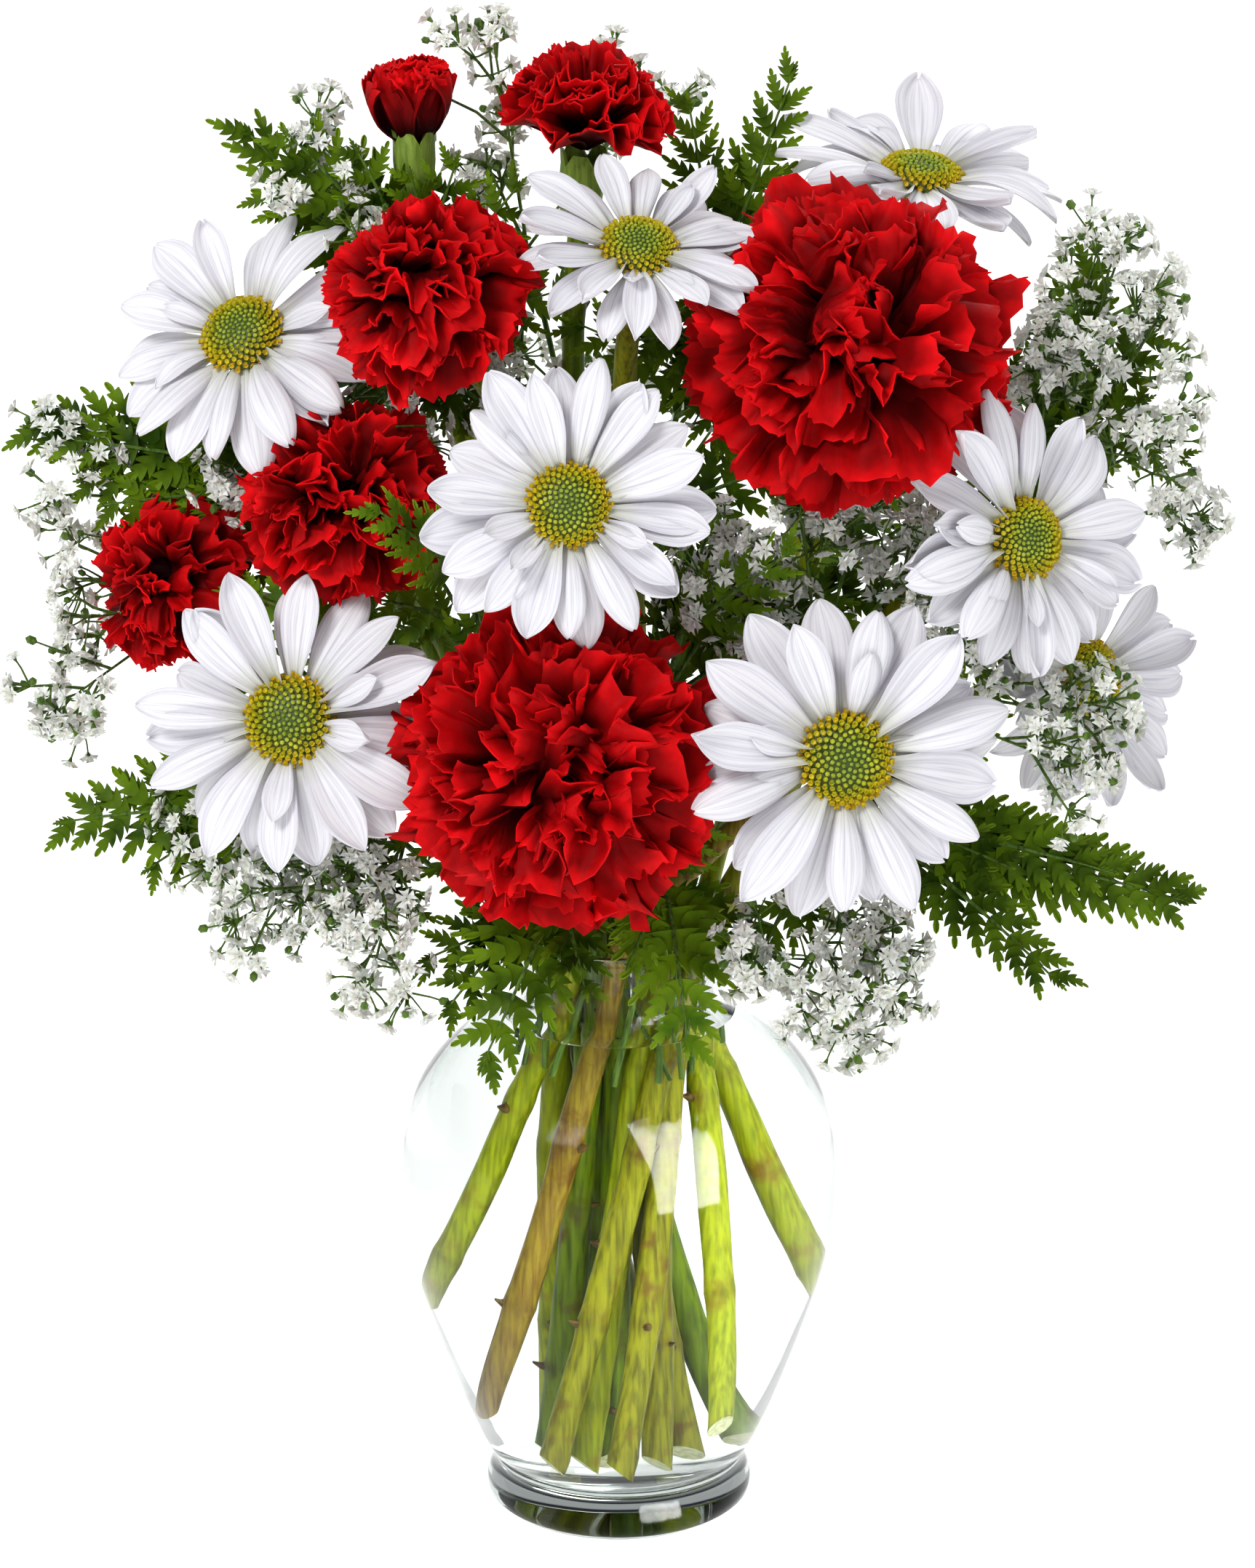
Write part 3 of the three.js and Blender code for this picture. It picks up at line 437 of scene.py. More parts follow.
def makeStudio():
    height = math.radians(studio["elevation"])
    target = Vector(studio["target"]) * mm
    back = Vector((0, -math.cos(height), math.sin(height)))
    camera = bpy.data.objects.new("camera", bpy.data.cameras.new("camera"))
    aimAt(camera, target + back * studio["distance"] * mm, target)
    camera.data.lens = studio["lens"]
    bpy.context.scene.camera = camera

    bpy.ops.mesh.primitive_plane_add(size=studio["floor"], location=(0, 0, -0.0002))
    floor = bpy.context.object
    floor.name = "floor"
    paper, shader = newMaterial("backdrop paper, white", {
        "Base Color": linear("#fafafa"), "Roughness": 0.9, "Specular IOR Level": 0.1,
        "Emission Color": (1, 1, 1, 1)})
    place = addNode(paper, "TexCoord")
    away = addNode(paper, "VectorMath", {"operation": "LENGTH"}, {0: place.outputs["Object"]})
    near, far = studio["glow"]
    glow = addNode(paper, "MapRange", {"From Min": 0.3, "From Max": 1.8, "To Min": near, "To Max": far},
                   {"Value": away.outputs["Value"]})
    connect(paper, shader, {"Emission Strength": glow})
    floor.data.materials.append(paper)

    for name, (place, size, power) in studio["lamps"].items():
        lamp = makeLamp(name, place, studio["lampAim"], power)
        lamp.data.size = size
        lamp.light_linking.blocker_collection = seeThrough
    window = makeLamp("window", studio["window"], studio["windowAim"], studio["windowPower"])
    window.data.shape = "RECTANGLE"
    window.data.size, window.data.size_y = studio["windowSize"]
    window.light_linking.receiver_collection = mirrorsWindow
    window.visible_camera = window.visible_transmission = False

    world = bpy.data.worlds.new("studio")
    bpy.context.scene.world = world
    world.use_nodes = True
    place = addNode(world, "TexCoord")
    height = addNode(world, "SeparateXYZ", links={0: place.outputs["Generated"]})
    sky = addNode(world, "ValToRGB", {"stops": studio["sky"]}, {0: height.outputs["Z"]})
    connect(world, world.node_tree.nodes["Background"], {0: sky})
    bpy.context.scene.view_settings.view_transform = "Standard"


makeStudio()
print("studio ready")


# vase and water

vase = {
    "outer": [  # radius and height of the outer wall, from the foot to the lip
        (34.8, 0), (36.8, 2), (36.8, 6.5), (34.5, 11.5), (38.2, 18.6), (45.6, 36.2),
        (54.7, 62.5), (58.9, 80), (59.9, 97), (58.2, 110.5), (54.2, 122), (46, 132.5),
        (31.6, 144), (28.2, 149), (28.8, 155), (36.2, 167)],
    "lip": [(0.6, 168.2), (0.3, 169.2), (-0.8, 169.4)],  # past the outer wall's end, and height
    "wall": 2.3, "wallFrom": 17.5,  # its thickness, and the height where it leaves the floor
    "floor": [(0, 12), (12, 12.2), (24, 12.8), (31.6, 15.4)],  # radius and height, inside
    "spacing": 2.6, "sides": 96,
    "waterLevel": 141, "meniscus": [(0.9, 1), (-1, 0.25), (-3.2, 0)],  # past the glass, over the level
}


def turnedPiece(profile, sides, name):  # a ring that is extruded and resized up its profile
    radius, height = profile[0]
    bpy.ops.mesh.primitive_circle_add(vertices=sides, radius=radius, fill_type="NGON",
                                      location=(0, 0, height))
    piece = newShape(name)
    editMode(piece, "SELECT")
    bpy.ops.mesh.flip_normals()
    bpy.ops.mesh.select_mode(type="EDGE")
    bpy.ops.mesh.select_all(action="SELECT")
    for radiusNext, heightNext in profile[1:]:
        bpy.ops.mesh.extrude_edges_move(TRANSFORM_OT_translate={"value": (0, 0, heightNext - height)})
        share = radiusNext / radius
        bpy.ops.transform.resize(value=(share, share, 1), center_override=(0, 0, heightNext))
        radius, height = radiusNext, heightNext
    bpy.ops.mesh.edge_face_add()
    bpy.ops.mesh.select_all(action="SELECT")
    bpy.ops.mesh.normals_make_consistent(inside=False)
    objectMode()
    return piece


def roundedProfile(points, spacing):
    line = smoothLine([Vector((r, z, 0)) for r, z in points], spacing)
    return [(p.x, p.y) for p in line]


def movedIn(profile, distance):
    moved = []
    for i, (r, z) in enumerate(profile):
        before, after = profile[max(i - 1, 0)], profile[min(i + 1, len(profile) - 1)]
        along = Vector((after[0] - before[0], after[1] - before[1])).normalized()
        moved.append((r - distance * along.y, z + distance * along.x))
    return moved


def makeVase():
    outer = roundedProfile(vase["outer"], vase["spacing"])
    inner = [(r, z) for r, z in movedIn(outer, vase["wall"]) if z > vase["wallFrom"]]
    lip = [*[(outer[-1][0] + out, z) for out, z in vase["lip"]], (inner[-1][0] + 0.2, 168.9)]
    bowl = [*vase["floor"], *inner]
    profile = [*outer, *lip, *reversed(bowl[1:])]
    shell = turnedPiece([(r * mm, z * mm) for r, z in profile], vase["sides"], "glass_vase")
    shell.data.materials.append(glass)
    smooth(shell, 50)
    settle(shell, "vase_glass", "vase")

    level = vase["waterLevel"]
    wet = [(r + 0.12, z - 0.06) for r, z in bowl[1:] if z < level - 1.5]
    edge = next(r for r, z in inner if z >= level)
    wet += [(edge + out, level + over) for out, over in vase["meniscus"]]
    body = turnedPiece([(r * mm, z * mm) for r, z in wet], vase["sides"], "vase_water")
    body.data.materials.append(water)
    smooth(body, 50)
    settle(body, "water", "water")


def letLightThrough():  # the lamps reach the stems through the glass and the water
    for name in ("glass_vase", "vase_water"):
        seeThrough.objects.link(bpy.data.objects[name])
    for item in seeThrough.collection_objects:
        item.light_linking.link_state = "EXCLUDE"
    mirrorsWindow.objects.link(bpy.data.objects["glass_vase"])


makeVase()
letLightThrough()
print("vase and water made")


# stems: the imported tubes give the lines, which are drawn here as round living stems

stem = {
    "radius": 3, "packedSides": 5, "sides": 12, "spacing": 2.5,
    "nodeEvery": 42, "nodeGirth": 1.11, "nodeReach": 2.6,  # the swellings where leaves were
    "wetGirth": 1.13, "uneven": 0.03, "stub": 3.2, "cut": 4,
    "scar": (0.7, 3.2, 0.5),  # the brownish ring: strength, distance from a swelling's middle, spread
}
# the stalks of the fern and the baby's breath, which are thinner
stalk = {"radius": 0.95, "packedSides": 3, "shown": 0.9, "spacing": 6}


def ringsOf(node, tube, tolerance):  # middles of a packed tube's rings of corners
    radius = tube["radius"]
    spots = sorted({tuple(round(c / mm, 2) for c in v.co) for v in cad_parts[node].data.vertices})
    groups = []
    for spot in map(Vector, spots):
        near = [g for g in groups if any((spot - other).length < 2.05 * radius for other in g)]
        groups = [g for g in groups if g not in near] + [[spot] + [p for g in near for p in g]]
    middles = []
    for group in groups:
        middle = sum(group, Vector()) / len(group)
        even = all(abs((p - middle).length - radius) < tolerance for p in group)
        if even and len(group) == tube["packedSides"]:
            middles.append(middle)
    return [m * mm for m in sorted(middles, key=lambda m: m.z)]


def makeStubPattern():  # the snapped-off foot of a leaf, one unit long and bent upwards
    bpy.ops.mesh.primitive_cone_add(vertices=8, radius1=0.5, radius2=0.3, depth=0.5, location=(0, 0, 0.1))
    stub = newShape()
    editMode(stub)
    selectPoints(stub, {v.index for v in bmesh.from_edit_mesh(stub.data).verts if v.co.z > 0.2})
    bpy.ops.mesh.extrude_region_move(TRANSFORM_OT_translate={"value": (0, 0.25, 0.45)})
    bpy.ops.transform.resize(value=(0.5, 0.3, 0.5), center_override=(0, 0.25, 0.8))
    objectMode()
    stub.data.materials.append(scarBrown)
    smooth(stub, 50)
    return stub


def makeStem(node, end, number, greens):
    rng = random.Random(500 + number)
    line = smoothLine([*ringsOf(node, stem, 0.36), end], stem["spacing"] * mm)
    offset = rng.uniform(0, stem["nodeEvery"])
    rounded, stubs, scars = [], [], []
    side = rng.uniform(0, fullTurn)
    sway = rng.uniform(0, fullTurn)
    for i, place in enumerate(line):
        along = i * stem["spacing"] + offset
        fromNode = abs((along + stem["nodeEvery"] / 2) % stem["nodeEvery"] - stem["nodeEvery"] / 2)
        girth = 1 + (stem["nodeGirth"] - 1) * math.exp(-(fromNode / stem["nodeReach"]) ** 2)
        girth *= stem["wetGirth"] if place.z < vase["waterLevel"] * mm else 1
        girth *= 1 + stem["uneven"] * math.sin(along / 9 + sway)
        radius = stem["radius"] * mm * girth
        rounded.append((place, radius))
        if fromNode < stem["spacing"] / 2 and 3 < i < len(line) - 4:
            scars.append(place)
            side += math.pi * rng.uniform(0.8, 1.2)
            out = Vector((math.cos(side), math.sin(side), 0))
            size = stem["stub"] * mm * rng.uniform(0.7, 1.15)
            turned = basis(place + out * radius * 0.8, out.cross(Vector((0, 0, 1))), Vector((0, 0, 1)), out,
                           (size, size, size))
            stubs.append(copyTo(stubPattern, turned))
    piece = tubeAlong([rounded], stem["sides"], f"{node}_shown")
    upwards = (line[2] - line[0]).normalized()
    facing = rng.uniform(-1.9, 1.9)  # the slanting cut, which mostly faces the front
    outwards = (Vector((math.sin(facing), -math.cos(facing), 0)) * 0.9 - upwards).normalized()
    editMode(piece, "SELECT")
    bpy.ops.mesh.bisect(plane_co=line[0] + upwards * stem["cut"] * mm, plane_no=-outwards,
                        clear_inner=True, use_fill=True)
    objectMode()
    piece.data.materials.append(greens)
    piece.data.materials.append(pith)
    for face in piece.data.polygons:
        if face.normal.dot(outwards) > 0.97 and (face.center - line[0]).length < 12 * mm:
            face.material_index = 1
    ring = piece.data.attributes.new("leafRing", "FLOAT", "POINT")
    strength, distance, spread = stem["scar"]
    ring.data.foreach_set("value", [
        max((strength * math.exp(-((point.co - scar).length / mm - distance) ** 2 / spread)
             for scar in scars), default=0) for point in piece.data.vertices])
    smooth(piece, 50)
    return joinParts([piece, *stubs], f"{node}_shown")


stubPattern = makeStubPattern()


# carnations

carnation = {
    "heads": {  # middle, facing, radius and rise of the outermost petals in degrees
        1: ((-53, 2, 388), (0, -0.1, 1), 21, 30), 2: ((-8, -2, 388), (0.08, -0.15, 1), 25, 32),
        3: ((-50, -40, 351), (-0.4, -0.55, 0.75), 27, -2), 4: ((59, -52, 340), (0.05, -0.8, 0.6), 41, -6),
        5: ((-71, -38, 296), (-0.3, -0.75, 0.6), 28, -2),
        6: ((-119, -10, 266), (-0.75, -0.6, 0.35), 24, -2),
        7: ((-15, -78, 236), (0, -0.95, 0.22), 41, -6)},
    "petals": {1: 18, 2: 30, 3: 40, 4: 44, 5: 40, 6: 36, 7: 66},
    # height of the folds and of the crumples, as shares of a petal's length
    "ruffle": {1: 0.1, 2: 0.12, 3: 0.12, 4: 0.1, 5: 0.13, 6: 0.13, 7: 0.13},
    "crumple": {1: 0.03, 2: 0.07, 3: 0.11, 4: 0.1, 5: 0.12, 6: 0.12, 7: 0.12},
    # closed or open: how far it sits back (share of its radius), its steepest petal in degrees, how
    # high its inner petals spring, and how much a petal bends outwards
    "closed": {"back": 0.45, "steepest": 82, "innerFoot": 0.2, "curl": 0.3},
    "opened": {"back": 0.3, "steepest": 80, "innerFoot": 0.3, "curl": 0.55},
    "budCurl": -1.15,  # the bud's petals bend inwards
    "broadens": {4: 0.42}, "usualBroadening": 0.3,  # an outer petal's added width
    "smoothOuter": (4,),  # its outer petals are less crumpled
    "across": 30, "along": 11, "thickness": 0.4, "tooth": 0.02,
    "tall": [(4, 32)],  # head and petal: an outer petal that stands out
    # least and most waves across a petal, and their share of its ruffle
    "folds": [(1.2, 2.0, 1), (2.6, 3.8, 0.6), (5, 7, 0.25)],
    "calyxRadius": (3.4, 0.11), "calyxLength": (9, 0.34),  # fixed, and for each millimetre of radius
    "clasp": {1: 3.5},  # how far the calyx of the bud reaches up
}


def headMatrix(middle, facing, back):
    z = Vector(facing).normalized()
    x = Vector((0, 0.3, 0.95)).cross(z).normalized()
    return basis((Vector(middle) - z * back) * mm, x, z.cross(x), z)


def rufflePetal(sheet, rng, size, rise, turn, height, width, ruffle, curl, crumple, foot, roll):
    # bends the flat grid into one frilled fan: it leaves the axis steeply, opens outwards
    # towards its edge, and its folds grow from the claw to the saw-toothed edge; then it is
    # rolled about its own length, set on its foot and crumpled
    waves = [(rng.uniform(fewest, most), rng.uniform(0, fullTurn), share)
             for fewest, most, share in carnation["folds"]]
    lean = rng.uniform(-0.4, 0.4)
    spin = Matrix.Rotation(turn, 4, "Z")
    own = Vector((rng.uniform(-9, 9), rng.uniform(-9, 9), rng.uniform(-9, 9)))
    for point in sheet.data.vertices:
        u, v = 2 * point.co.x, point.co.y + 0.5
        edge = max(0, (v - 0.3) / 0.7)
        toothed = carnation["tooth"] * size * (1 if round((u + 1) * carnation["across"] / 2) % 2 else -1)
        reach = size * v * (1 - 0.16 * u * u) + (toothed if v > 0.99 else 0)
        half = width * size * (0.07 + 0.93 * v ** 0.85)
        fold = sum(size * ruffle * share * math.sin(k * math.pi * u + phase + 1.2 * v)
                   for k, phase, share in waves) * edge ** 1.3 + 0.18 * half * u * u * v
        sway = 0.35 * size * ruffle * math.cos(waves[1][0] * math.pi * u + waves[1][1]) * edge
        across = half * math.sin(1.35 * u) / 1.1 + sway + lean * reach * 0.25
        across, fold = (across * math.cos(roll) - fold * math.sin(roll),
                        across * math.sin(roll) + fold * math.cos(roll))
        angle = rise + curl * (0.45 - v)
        place = spin @ Vector((reach * math.cos(angle) - fold * math.sin(angle), across,
                               reach * math.sin(angle) + fold * math.cos(angle) + height)) + foot
        broad, fine = (noise.noise_vector(place / (share * size) + own) for share in (0.34, 0.13))
        point.co = place + (broad + 0.4 * fine) * crumple * size * edge


def makeCarnation(number):
    middle, facing, radius, spread = carnation["heads"][number]
    closed = spread > 20
    form = carnation["closed" if closed else "opened"]
    matrix = headMatrix(middle, facing, radius * form["back"])
    rng = random.Random(30 + number)
    bpy.ops.mesh.primitive_grid_add(x_subdivisions=carnation["across"],
                                    y_subdivisions=carnation["along"], size=1)
    sheet = bpy.context.object
    sheet.data.uv_layers[0].name = "petal"
    count = carnation["petals"][number]
    broadening = carnation["broadens"].get(number, carnation["usualBroadening"])
    petals = []
    for i in range(count):
        share = (i + 0.5) / count
        inner = 0 if closed else (1 - share) ** 2
        rise = math.radians(form["steepest"] * (1 - share ** 0.8) + spread * share ** 0.8)
        aside = rng.uniform(0, fullTurn)
        petal = copyTo(sheet, Matrix())
        rufflePetal(petal, rng,
                    size=radius * mm * (1 if closed else 1.0 - 0.3 * math.sin(rise) ** 2)
                    * (1.14 if (number, i) in carnation["tall"] else rng.uniform(0.88, 1.03)),
                    rise=rise + rng.uniform(-0.2, 0.2),
                    turn=i * goldenTurn + rng.uniform(-0.4, 0.4),
                    height=radius * mm * (form["innerFoot"] * (1 - share) + 0.08 * share),
                    width=(0.34 + broadening * share) * rng.uniform(0.8, 1.2),
                    ruffle=carnation["ruffle"][number] * rng.uniform(0.7, 1.4),
                    curl=carnation["budCurl"] * rng.uniform(0.9, 1.1) if number == 1
                    else form["curl"] * rng.uniform(0.5, 1.4),
                    crumple=carnation["crumple"][number] * rng.uniform(0.7, 1.3)
                    * (1.3 - 0.8 * share if number in carnation["smoothOuter"] else 1),
                    foot=Vector((math.cos(aside), math.sin(aside), 0)) * 0.3 * inner * radius * mm,
                    roll=rng.uniform(-1.3, 1.3) * inner + rng.uniform(-0.15, 0.15))
        petals.append(petal)
    head = joinParts(petals, f"carnation_{number}_bloom")
    applyModifier(head, "SOLIDIFY", thickness=carnation["thickness"] * mm, offset=0)
    head.data.materials.append(petalRed)
    head.data.transform(matrix)
    smooth(head, 80)
    settle(head, "carnation_petals", f"carnation_{number}_petals")
    discard([sheet])

    girth, length = (fixed + share * radius
                     for fixed, share in (carnation["calyxRadius"], carnation["calyxLength"]))
    clasp = Matrix.Translation((0, 0, carnation["clasp"].get(number, 0) * mm))
    calyx = copyTo(calyxPattern, matrix @ clasp @ Matrix.Diagonal((girth * mm, girth * mm, length * mm, 1)))
    end = matrix @ Vector((0, 0, -(length - 2) * mm))
    bare = makeStem(f"carnation_{number}_stem", end, number, stemGreens[number % 3])
    settle(joinParts([bare, calyx], f"carnation_{number}_stalk"), "stems", f"carnation_{number}_stem")


def makeCalyxPattern():  # a ribbed tube, one unit deep, with five teeth at its mouth
    sides = 20
    pattern = turnedPiece([(0.55, -1), (0.8, -0.93), (0.92, -0.7), (0.98, -0.4), (0.97, -0.1),
                           (1.04, 0.12), (0.86, 0.1), (0.8, -0.3)], sides, "calyx_pattern")
    editMode(pattern)
    teeth = {v.index for v in bmesh.from_edit_mesh(pattern.data).verts if v.co.z > 0.05
             and round(math.degrees(math.atan2(v.co.y, v.co.x)) / (360 / sides)) % 4 == 0}
    selectPoints(pattern, teeth)
    bpy.ops.transform.translate(value=(0, 0, -0.2))
    objectMode()
    smooth(pattern, 60)
    pattern.data.materials.append(calyxGreen)
    return pattern


calyxPattern = makeCalyxPattern()
for headNumber in carnation["heads"]:
    makeCarnation(headNumber)
discard([calyxPattern])
print("carnations made")


# daisies

daisy = {
    "heads": {  # middle, facing, radius over the petals and radius of the disc
        1: ((-97, -13, 332), (-0.28, -0.68, 0.68), 39, 11),
        2: ((5, -42, 360), (0.1, -0.55, 0.84), 34, 10),
        3: ((80, 23, 367), (0.12, -0.25, 0.95), 41, 11),
        4: ((-12, -78, 303), (0, -0.95, 0.3), 38, 10.5),
        5: ((102, -60, 290), (0.52, -0.8, 0.3), 38, 10.5),
        6: ((-84, -55, 241), (-0.18, -0.93, 0.32), 42, 11.5),
        7: ((57, -80, 238), (0.12, -0.97, 0.2), 43, 12),
        8: ((123, -16, 241), (0.62, -0.74, 0.27), 37, 10.5)},
    "petals": 23, "across": 6, "width": 0.4, "thickness": 0.45,
    "slopes": (-3, 13), "reach": (0.82, 1.03),  # slopes of the lower and upper petals, in degrees
    "inner": 3, "innerSlope": (18, 36), "innerReach": (0.5, 0.65),  # short ones that stand up
    # share along a petal and its width there
    "outline": [(0, 0.3), (0.08, 0.36), (0.18, 0.5), (0.3, 0.68), (0.42, 0.84), (0.54, 0.95), (0.66, 1),
                (0.76, 0.95), (0.85, 0.78), (0.92, 0.54), (0.97, 0.3), (1, 0.08)],
    # rise of the middle, drop of the tip, raised edges and twist in degrees of each kind
    "kinds": [(0.05, 0.05, 0.05, 0), (0.09, 0.16, -0.05, 6), (0.0, -0.1, 0.1, -4), (0.06, 0.08, 0.05, 22),
              (0.07, 0.12, -0.07, -20), (0.03, 0.02, 0.15, 3), (0.1, 0.24, 0.08, 10)],
    "florets": 190,
}


def makeRayPattern(kind):
    middleRise, tipDrop, raised, twist = kind
    outline = daisy["outline"]
    bpy.ops.mesh.primitive_grid_add(x_subdivisions=daisy["across"], y_subdivisions=len(outline) - 1, size=1)
    petal = bpy.context.object
    petal.data.uv_layers[0].name = "petal"
    rows, columns = linesOf(petal, 1), linesOf(petal, 0)
    editMode(petal)
    for i, ((share, width), row) in enumerate(zip(outline, rows)):
        now = i / (len(outline) - 1) - 0.5
        selectPoints(petal, row)
        bpy.ops.transform.resize(value=(width * daisy["width"], 1, 1), center_override=(0, now, 0))
        lift = middleRise * 4 * share * (1 - share) - tipDrop * share ** 3
        bpy.ops.transform.translate(value=(0, share - now, lift))
        bpy.ops.transform.rotate(value=math.radians(twist * share), orient_axis="Y",
                                 center_override=(0, share, lift))
    middle = daisy["across"] / 2
    for i, column in enumerate(columns):  # soft grooves between raised ribs
        side = abs(i - middle) / middle
        selectPoints(petal, column)
        bpy.ops.transform.translate(value=(0, 0, raised * side ** 2 + (0.012 if i % 2 else -0.012)))
    objectMode()
    applyModifier(petal, "SOLIDIFY", thickness=daisy["thickness"] / 30, offset=0)
    applyModifier(petal, "SUBSURF", levels=1, render_levels=1)
    petal.data.materials.append(petalWhite)
    smooth(petal, 80)
    return petal


def makeDiscPattern():  # a dome of unit radius packed with florets in two-way spirals
    bpy.ops.mesh.primitive_ico_sphere_add(subdivisions=1, radius=0.06)
    bud = bpy.context.object
    bpy.ops.mesh.primitive_cone_add(vertices=6, radius1=0.024, radius2=0.058, depth=0.15)
    opened = bpy.context.object
    editMode(opened)
    mesh = bmesh.from_edit_mesh(opened.data)
    selectPoints(opened, {v.index for v in mesh.verts if v.co.z > 0})
    bpy.ops.mesh.select_mode(type="FACE")
    bpy.ops.mesh.inset(thickness=0.02)
    bpy.ops.transform.translate(value=(0, 0, -0.05))
    objectMode()
    bpy.ops.mesh.primitive_uv_sphere_add(segments=28, ring_count=12, radius=0.94)
    dome = bpy.context.object
    editMode(dome, "SELECT")
    bpy.ops.mesh.bisect(plane_co=(0, 0, 0), plane_no=(0, 0, 1), clear_inner=True, use_fill=True)
    bpy.ops.mesh.select_all(action="SELECT")
    bpy.ops.transform.resize(value=(1, 1, 0.4), center_override=(0, 0, 0))
    objectMode()
    parts = [dome]
    rng = random.Random(9)
    for i in range(daisy["florets"]):
        share = (i + 0.5) / daisy["florets"]
        out = share ** 0.52
        angle = math.asin(min(out, 1) * 0.995)
        normal = Vector((math.sin(angle), 0, math.cos(angle) * 1.6)).normalized()
        turn = Matrix.Rotation(i * goldenTurn, 4, "Z")
        place = Vector((math.sin(angle), 0, 0.4 * math.cos(angle)))
        stand = normal.to_track_quat("Z", "Y").to_matrix().to_4x4()
        girth = 0.72 + 0.5 * out
        source = bud if out < 0.6 + rng.uniform(-0.08, 0.08) else opened
        part = copyTo(source, turn @ Matrix.Translation(place) @ stand
                      @ Matrix.Diagonal((girth, girth, girth * rng.uniform(0.85, 1.3), 1)))
        ripeness = part.data.attributes.new("ripeness", "FLOAT", "POINT")
        ripeness.data.foreach_set("value", [out] * len(part.data.vertices))
        parts.append(part)
    disc = joinParts(parts, "disc_pattern")
    disc.data.materials.append(discYellow)
    smooth(disc, 40)
    discard([bud, opened])
    return disc


def makeBractPattern():  # the shallow green cup under the petals, one unit wide
    bpy.ops.mesh.primitive_cone_add(vertices=20, radius1=0.34, radius2=1, depth=0.7, location=(0, 0, -0.35))
    cup = newShape()
    cup.data.materials.append(stemGreens[2])
    parts = [cup]
    for ring, (count, low, tilt) in enumerate(((11, -0.62, 38), (13, -0.36, 26))):
        for i in range(count):
            bpy.ops.mesh.primitive_uv_sphere_add(segments=6, ring_count=4, radius=0.2)
            scale = bpy.context.object
            scale.data.transform(
                Matrix.Rotation(2 * math.pi * (i + ring / 2) / count, 4, "Z")
                @ Matrix.Translation((0.55 + 0.22 * ring, 0, low + 0.15))
                @ turnedBy(tilt, "Y") @ Matrix.Diagonal((0.3, 0.9, 1.7, 1)))
            scale.data.materials.append(stemGreens[ring])
            parts.append(scale)
    pattern = joinParts(parts, "bract_pattern")
    smooth(pattern, 50)
    return pattern


rayPatterns = [makeRayPattern(kind) for kind in daisy["kinds"]]
discPattern = makeDiscPattern()
bractPattern = makeBractPattern()


def makeDaisy(number):
    middle, facing, radius, disc = daisy["heads"][number]
    matrix = headMatrix(middle, facing, 0)
    rng = random.Random(60 + number)
    hub = disc * 0.8
    petals = []
    for i in range(daisy["petals"] + daisy["inner"]):
        inner = i >= daisy["petals"]
        upper = i % 2
        slope = rng.uniform(*daisy["innerSlope"]) if inner else daisy["slopes"][upper] + rng.uniform(-8, 8)
        length = (radius - hub) * rng.uniform(*daisy["innerReach" if inner else "reach"])
        turn = rng.uniform(0, 360) if inner else (i + rng.uniform(-0.4, 0.4)) * 360 / daisy["petals"]
        broad = length * rng.uniform(0.9, 1.12) * (0.95 if upper else 1.05)
        place = (turnedBy(turn - 90, "Z")
                 @ Matrix.Translation((0, hub * mm, (0.25 * upper + rng.uniform(-0.2, 0.2)) * mm))
                 @ turnedBy(slope, "X")
                 @ turnedBy(rng.uniform(-9, 9), "Y")
                 @ Matrix.Diagonal((broad * mm, length * mm, length * mm, 1)))
        petals.append(copyTo(rng.choice(rayPatterns), matrix @ place))
    rays = joinParts(petals, f"daisy_{number}_rays")
    settle(rays, "daisy_petals", f"daisy_{number}_petals")

    size = disc * mm
    middlePiece = copyTo(discPattern, matrix @ Matrix.Translation((0, 0, 0.6 * mm))
                         @ Matrix.Rotation(number, 4, "Z") @ Matrix.Diagonal((size, size, size * 1.1, 1)))
    middlePiece.name = middlePiece.data.name = f"daisy_{number}_middle"
    settle(middlePiece, "daisy_disc", f"daisy_{number}_disc")

    cup = disc * 0.8 * mm
    under = matrix @ Matrix.Translation((0, 0, -0.6 * mm))
    bracts = copyTo(bractPattern, under @ Matrix.Diagonal((cup, cup, cup, 1)))
    end = matrix @ Vector((0, 0, -6 * mm))
    greens = stemBrown if number == 7 else stemGreens[(number + 1) % 3]
    bare = makeStem(f"daisy_{number}_stem", end, 20 + number, greens)
    settle(joinParts([bare, bracts], f"daisy_{number}_stalk"), "stems", f"daisy_{number}_stem")


for headNumber in daisy["heads"]:
    makeDaisy(headNumber)
discard([*rayPatterns, discPattern, bractPattern, stubPattern])
print("daisies made")


# leatherleaf fern

